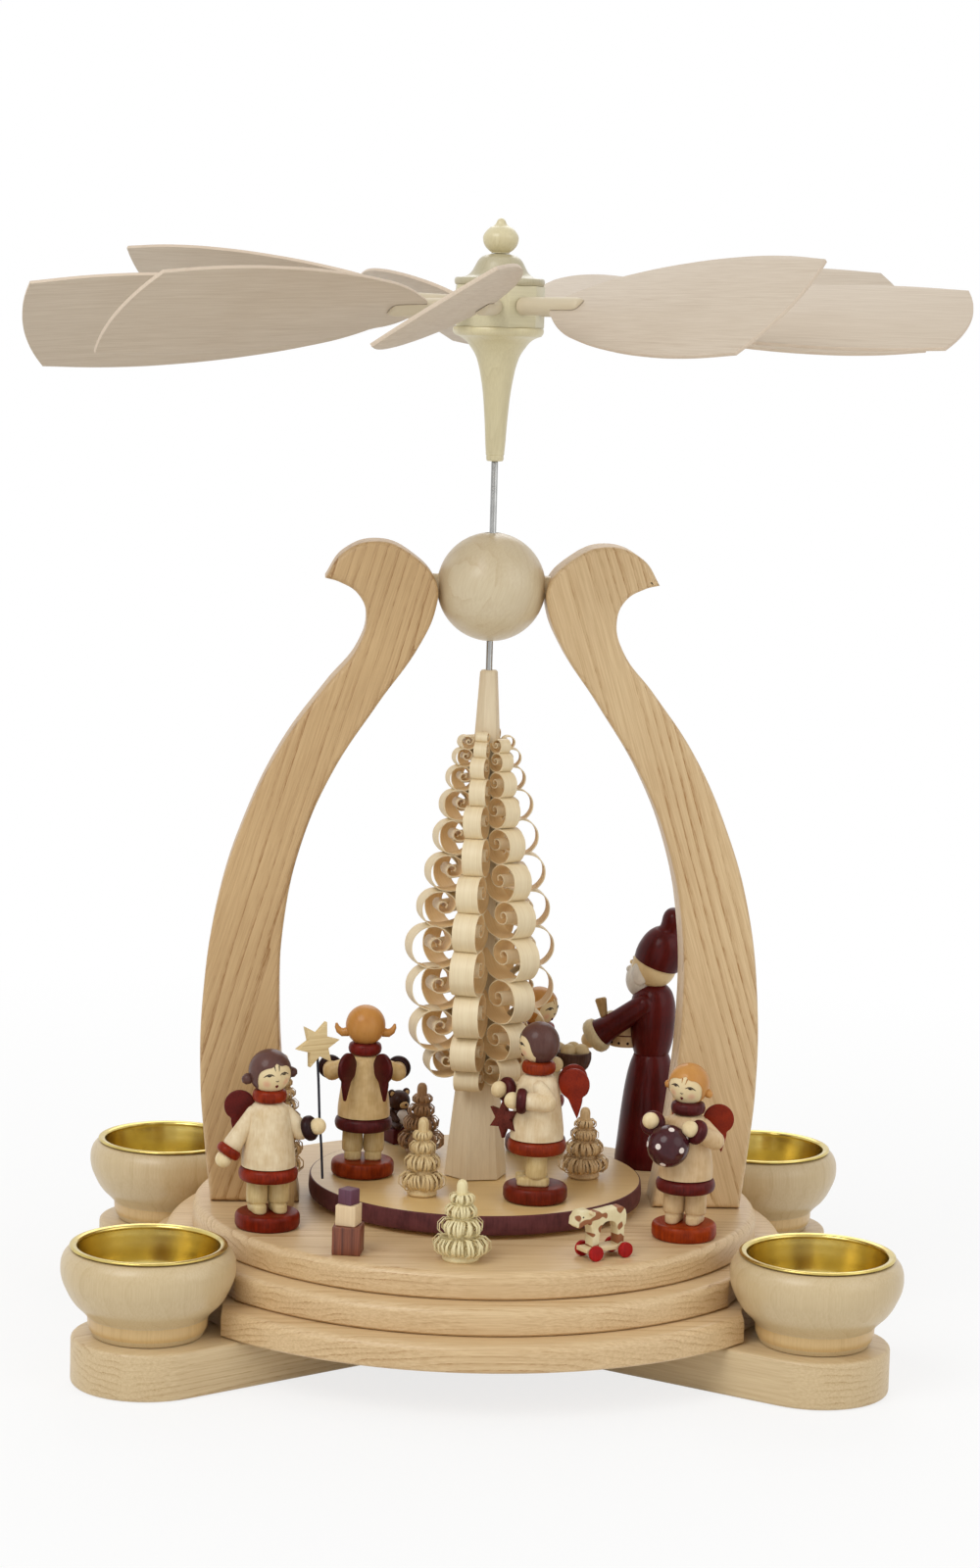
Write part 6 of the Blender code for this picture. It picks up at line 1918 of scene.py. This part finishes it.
@dataclass
class ToyCow:
    """A sawn cow, its head towards -X, on a board with four red wheels."""

    place: Point = (37.9, -72.9, 42.4)
    turn: float = 29.0
    outline: tuple[Point, ...] = (
        (-12.4, 11.8, 1), (-12.2, 14.0, 1), (-10.6, 16.2, 1), (-7.4, 16.4, 1), (-5.6, 15.4, 1), (-2.0, 15.5),
        (2.0, 15.9), (5.4, 16.2, 1), (6.6, 15.0), (6.9, 10.6, 1), (6.3, 10.0, 1), (6.2, 4.0, 1), (3.9, 4.0, 1),
        (3.6, 9.2), (2.7, 11.2), (0.4, 12.0), (-1.8, 11.2), (-2.8, 9.0), (-3.3, 4.0, 1), (-5.8, 4.0, 1), (-6.2, 10.0),
        (-7.2, 12.0, 1), (-9.0, 11.6, 1), (-11.0, 10.7, 1),
    )

    def build(self) -> None:
        """Makes the cow, the board and the wheels."""
        hide = SpottedHide("lacquer_cow").dress()
        pale = Wood("linden_board", "e3cfa4", "c7a878", 1.4, 0.25, 0.4, 0.4).dress(Grain.ALONG_X)
        red = Paint("lacquer_wheel", "b8201f", "8e1517", roughness=0.35, grain=0.5).dress()
        dark = STUD.dress()
        cow = set_down(sawn("cow", self.outline, 4.4, hide, 0.3, 3, 1), turn=(90, 0, 0))
        keep_local(cow)
        parts = [cow, block("board", (17.2, 5.8, 1.4), (0, 0, 3.3), pale, 0.2)]
        eye = [(-0.1, 0.3), (0.05, 0.28), (0.1, 0.1)]
        wheel = [(-0.75, 2.0), (-0.7, 2.4), (-0.5, 2.5), (0.5, 2.5), (0.7, 2.4), (0.75, 2.0)]
        for side in (-1, 1):
            parts.append(spun_along("eye", (-9.6, side * 2.2, 14.3), (0, side, 0), eye, dark, 4))
            ear = [(-7.0, side * 1.9, 15.6), (-6.7, side * 2.8, 15.4), (-6.4, side * 3.2, 14.8)]
            parts.append(rod("ear", ear, [0.7, 0.6, 0.2], pale, 4))
            for end in (-1, 1):
                parts.append(spun_along("wheel", (end * 5.6, side * 4.0, 2.5), (0, side, 0), wheel, red, 10))
        for end in (-1, 1):
            parts.append(rod("axle", [(end * 5.6, -3.6, 2.5), (end * 5.6, 3.6, 2.5)], [0.5, 0.5], dark, 3))
        set_out("cow_on_wheels", parts, self.place, self.turn, "base", "toy", "toy_cow")


@dataclass(frozen=True)
class SpottedHide:
    """Cream paint with soft-edged brown patches about 3 mm wide, brushed on by hand."""

    name: str
    cream: str = "e9ddb6"
    brown: str = "96603f"

    def dress(self) -> Material:
        """Makes the material once.

        Returns:
            The material.
        """
        base = Paint(self.name, self.cream, "d6c392", roughness=0.5, coat=0.1, grain=0.2).dress()
        tree = base.node_tree
        place = add_node(tree, "Attribute", attribute_name=LOCAL).outputs["Vector"]
        lie = {"Scale": (0.2, 0.04, 0.26), "Location": (0.35, 0, 1.1)}
        flat = add_node(tree, "Mapping", lie, {0: place})
        cloud = add_node(tree, "TexNoise", {"Scale": 1.0, "Detail": 0.6}, {0: flat})
        edge = add_node(tree, "MapRange", {1: 0.54, 2: 0.56, 3: 0.0, 4: 1.0}, {0: cloud})
        return paint_over(base, edge, self.brown)


@dataclass
class ToyBear:
    """A seated bear on a stained block."""

    place: Point = (-25.2, 46.0, 50.7)
    turn: float = 30.0

    def build(self) -> None:
        """Makes the block and the bear."""
        fur = Paint("stain_bear", "43261b", "2c1811", roughness=0.45, coat=0.1, grain=0.5).dress()
        pale = Paint("lacquer_muzzle", "c9a878", "a98a5c").dress()
        white = Paint("lacquer_bib", "e8e4e0", "d2ccc8").dress()
        seat = Paint("stain_block", "5a2024", "401418", roughness=0.4, grain=0.5).dress()
        dark = STUD.dress()
        parts = [
            block("seat", (8.8, 8.8, 5.2), (0, 0, 2.6), seat, 0.5), ball("belly", (3.7, 3.6, 4.2), (0, 0.3, 9.0), fur),
            ball("bib", (2.3, 1.2, 2.7), (0, -2.6, 9.2), white), ball("head", (4.0, 3.9, 3.8), (0, -0.2, 14.5), fur),
            ball("muzzle", (1.7, 1.4, 1.3), (0, -3.6, 13.7), pale),
            ball("nose", (0.5, 0.4, 0.4), (0, -5.0, 14.0), dark, 16, 10),
        ]
        for side in (-1, 1):
            parts.append(ball("ear", (1.5, 0.8, 1.5), (side * 3.0, 0, 17.3), fur, 20, 14))
            parts.append(ball("ear_inside", (0.9, 0.5, 0.9), (side * 3.0, -0.5, 17.3), pale, 16, 10))
            parts.append(ball("eye", (0.35, 0.3, 0.35), (side * 1.4, -3.75, 15.3), dark, 12, 8))
            parts.append(limb("arm", (side * 3.2, -0.6, 10.6), (side * 2.6, -3.6, 8.4), 1.2, 1.0, fur))
            parts.append(limb("leg", (side * 2.2, -1.4, 6.6), (side * 2.6, -4.6, 6.5), 1.4, 1.35, fur))
        set_out("bear_on_block", parts, self.place, self.turn, "rotor", "toy", "toy_bear")


TREES = (
    # The rear tree's darker tones are painted shade, for the shade that it stands in.
    ChipTree("small_tree_rear", "chip_tree_rear", "rotor", (-17.6, 29.6, 50.7), 8.4, 24.7, "b08a62", "85613f", 12.0),
    ChipTree(
        "small_tree_front", "chip_tree_front", "rotor", (-18.9, -29.0, 50.7), 8.0, 26.0, "e5d0a0", "b8945c", 5.0,
        seed=8,
    ),
    ChipTree(
        "small_tree_right", "chip_tree_right", "rotor", (36.6, -1.4, 50.7), 8.6, 24.0, "dfc394", "b08a58", 20.0,
        seed=11,
    ),
    ChipTree(
        "small_tree_on_base", "chip_tree_base", "base", (-8.0, -79.0, 42.4), 9.4, 26.0, "efe4b8", "d3bd85", 9.0,
        seed=14,
    ),
    ChipTree(
        "tall_tree", "chip_tree_tall", "base", (-65.5, -21.5, 42.4), 7.6, 53.0, "c9a877", "96713f", 0.0,
        (
            (0.30, 0.055, 1.0), (0.40, 0.052, 0.96), (0.50, 0.048, 0.9), (0.59, 0.044, 0.82), (0.675, 0.04, 0.72),
            (0.75, 0.034, 0.6), (0.82, 0.03, 0.46),
        ), 4.3, 17,
    ),
)


# The studio


@dataclass
class Studio:
    """A pale floor, soft lamps and the camera of the photograph."""

    eye: Point = (-0.0587, -1.1426, 0.3328)
    heading: float = -2.94
    pitch: float = 7.62
    roll: float = 1.58
    lens: float = 79.48
    shift: Point = (0.002875, 0.007625)

    def build(self) -> None:
        """Sets up the floor, the lamps, the sky and the camera."""
        self.floor()
        self.lamps()
        self.sky()
        self.camera()
        bpy.context.scene.view_settings.view_transform = "Standard"

    def floor(self) -> None:
        """Lays a pale floor that the camera sees nearly white, with the object's shadow."""
        deselect()
        bpy.ops.mesh.primitive_plane_add(size=12, location=(0, 0, -0.0002))
        ground = bpy.context.object
        ground.name = "floor"
        material, tree = new_material("pale_floor")
        shader = tree.nodes[SHADER]
        for name, value in (("Base Color", linear("f4f4f2")), ("Roughness", 0.9), ("Specular IOR Level", 0.1)):
            shader.inputs[name].default_value = value
        # The shadow lies near the object, so the floor goes over into the white background further out.
        place = add_node(tree, "TexCoord")
        away = add_node(tree, "VectorMath", links={0: place.outputs["Object"]}, operation="LENGTH")
        glow = add_node(tree, "MapRange", {1: 0.15, 2: 0.65, 3: 0.78, 4: 1.0}, {0: away.outputs["Value"]})
        share = add_node(tree, "Math", links={0: self.backdrop(tree), 1: glow}, operation="MULTIPLY")
        white = add_node(tree, "Emission", {"Color": (1, 1, 1, 1), "Strength": 1.0})
        mix = add_node(tree, "MixShader", links={0: share, 1: shader, 2: white})
        tree.links.new(mix.outputs[0], tree.nodes["Material Output"].inputs["Surface"])
        ground.data.materials.append(material)

    def lamps(self) -> None:
        """Hangs three large soft lamps."""
        for name, place, size, power in (
            ("key", (-0.9, -1.1, 1.5), 1.2, 15.0), ("fill", (1.3, -0.9, 0.9), 1.4, 5.0),
            ("back", (0.2, 1.3, 1.3), 1.2, 5.5),
        ):
            lamp = bpy.data.lights.new(name, "AREA")
            lamp.shape = "DISK"
            lamp.size = size
            lamp.energy = power
            holder = bpy.data.objects.new(name, lamp)
            holder.location = place
            aim = Vector((0, 0, 0.15)) - holder.location
            holder.rotation_euler = aim.to_track_quat("-Z", "Y").to_euler()
            bpy.context.scene.collection.objects.link(holder)

    def sky(self) -> None:
        """Fills the room with an even light, and shows white behind the object."""
        world = bpy.data.worlds.new("studio")
        bpy.context.scene.world = world
        world.use_nodes = True
        tree = world.node_tree
        light = tree.nodes["Background"]
        light.inputs["Color"].default_value = (1, 1, 1, 1)
        light.inputs["Strength"].default_value = 0.55
        white = add_node(tree, "Background", {"Color": (1, 1, 1, 1), "Strength": 1.0})
        mix = add_node(tree, "MixShader", links={0: self.backdrop(tree), 1: light, 2: white})
        tree.links.new(mix.outputs[0], tree.nodes["World Output"].inputs["Surface"])

    def backdrop(self, tree: Tree) -> bpy.types.Node:
        """Tells the rays by which the studio is seen from those that light the object.

        Args:
            tree: The node tree of the floor or of the sky.

        Returns:
            A node that is 1 on camera, glossy and transmission rays, and else 0.
        """
        path = add_node(tree, "LightPath")
        rays = {0: path.outputs["Is Camera Ray"], 1: path.outputs["Is Glossy Ray"]}
        seen = add_node(tree, "Math", links=rays, operation="MAXIMUM")
        return add_node(tree, "Math", links={0: seen, 1: path.outputs["Is Transmission Ray"]}, operation="MAXIMUM")

    def camera(self) -> None:
        """Sets the camera at the photograph's point of view."""
        lens = bpy.data.cameras.new("view")
        lens.sensor_fit = "VERTICAL"
        lens.sensor_height = 36.0
        lens.lens = self.lens
        lens.shift_x, lens.shift_y = self.shift
        eye = bpy.data.objects.new("view", lens)
        eye.matrix_world = (
            Matrix.Translation(self.eye) @ Matrix.Rotation(math.radians(self.heading), 4, "Z")
            @ Matrix.Rotation(math.radians(90 - self.pitch), 4, "X") @ Matrix.Rotation(math.radians(self.roll), 4, "Z")
        )
        bpy.context.scene.collection.objects.link(eye)
        bpy.context.scene.camera = eye


def main() -> None:
    """Builds the carousel and its studio."""
    logging.basicConfig(level=logging.INFO, format="%(message)s")
    for builder in (
        Feet(), BasePlates(), CandleCups(), Arches(), BallAndShaft(), Turntable(), ShavingTree(), Hub(), Blades(),
        *ANGELS, StarStaff(), GiftBringer(), *TREES, CubeStack(), ToyCow(), ToyBear(), Studio(),
    ):
        builder.build()
        LOG.info("%s done", type(builder).__name__)


if __name__ == "__main__":
    main()
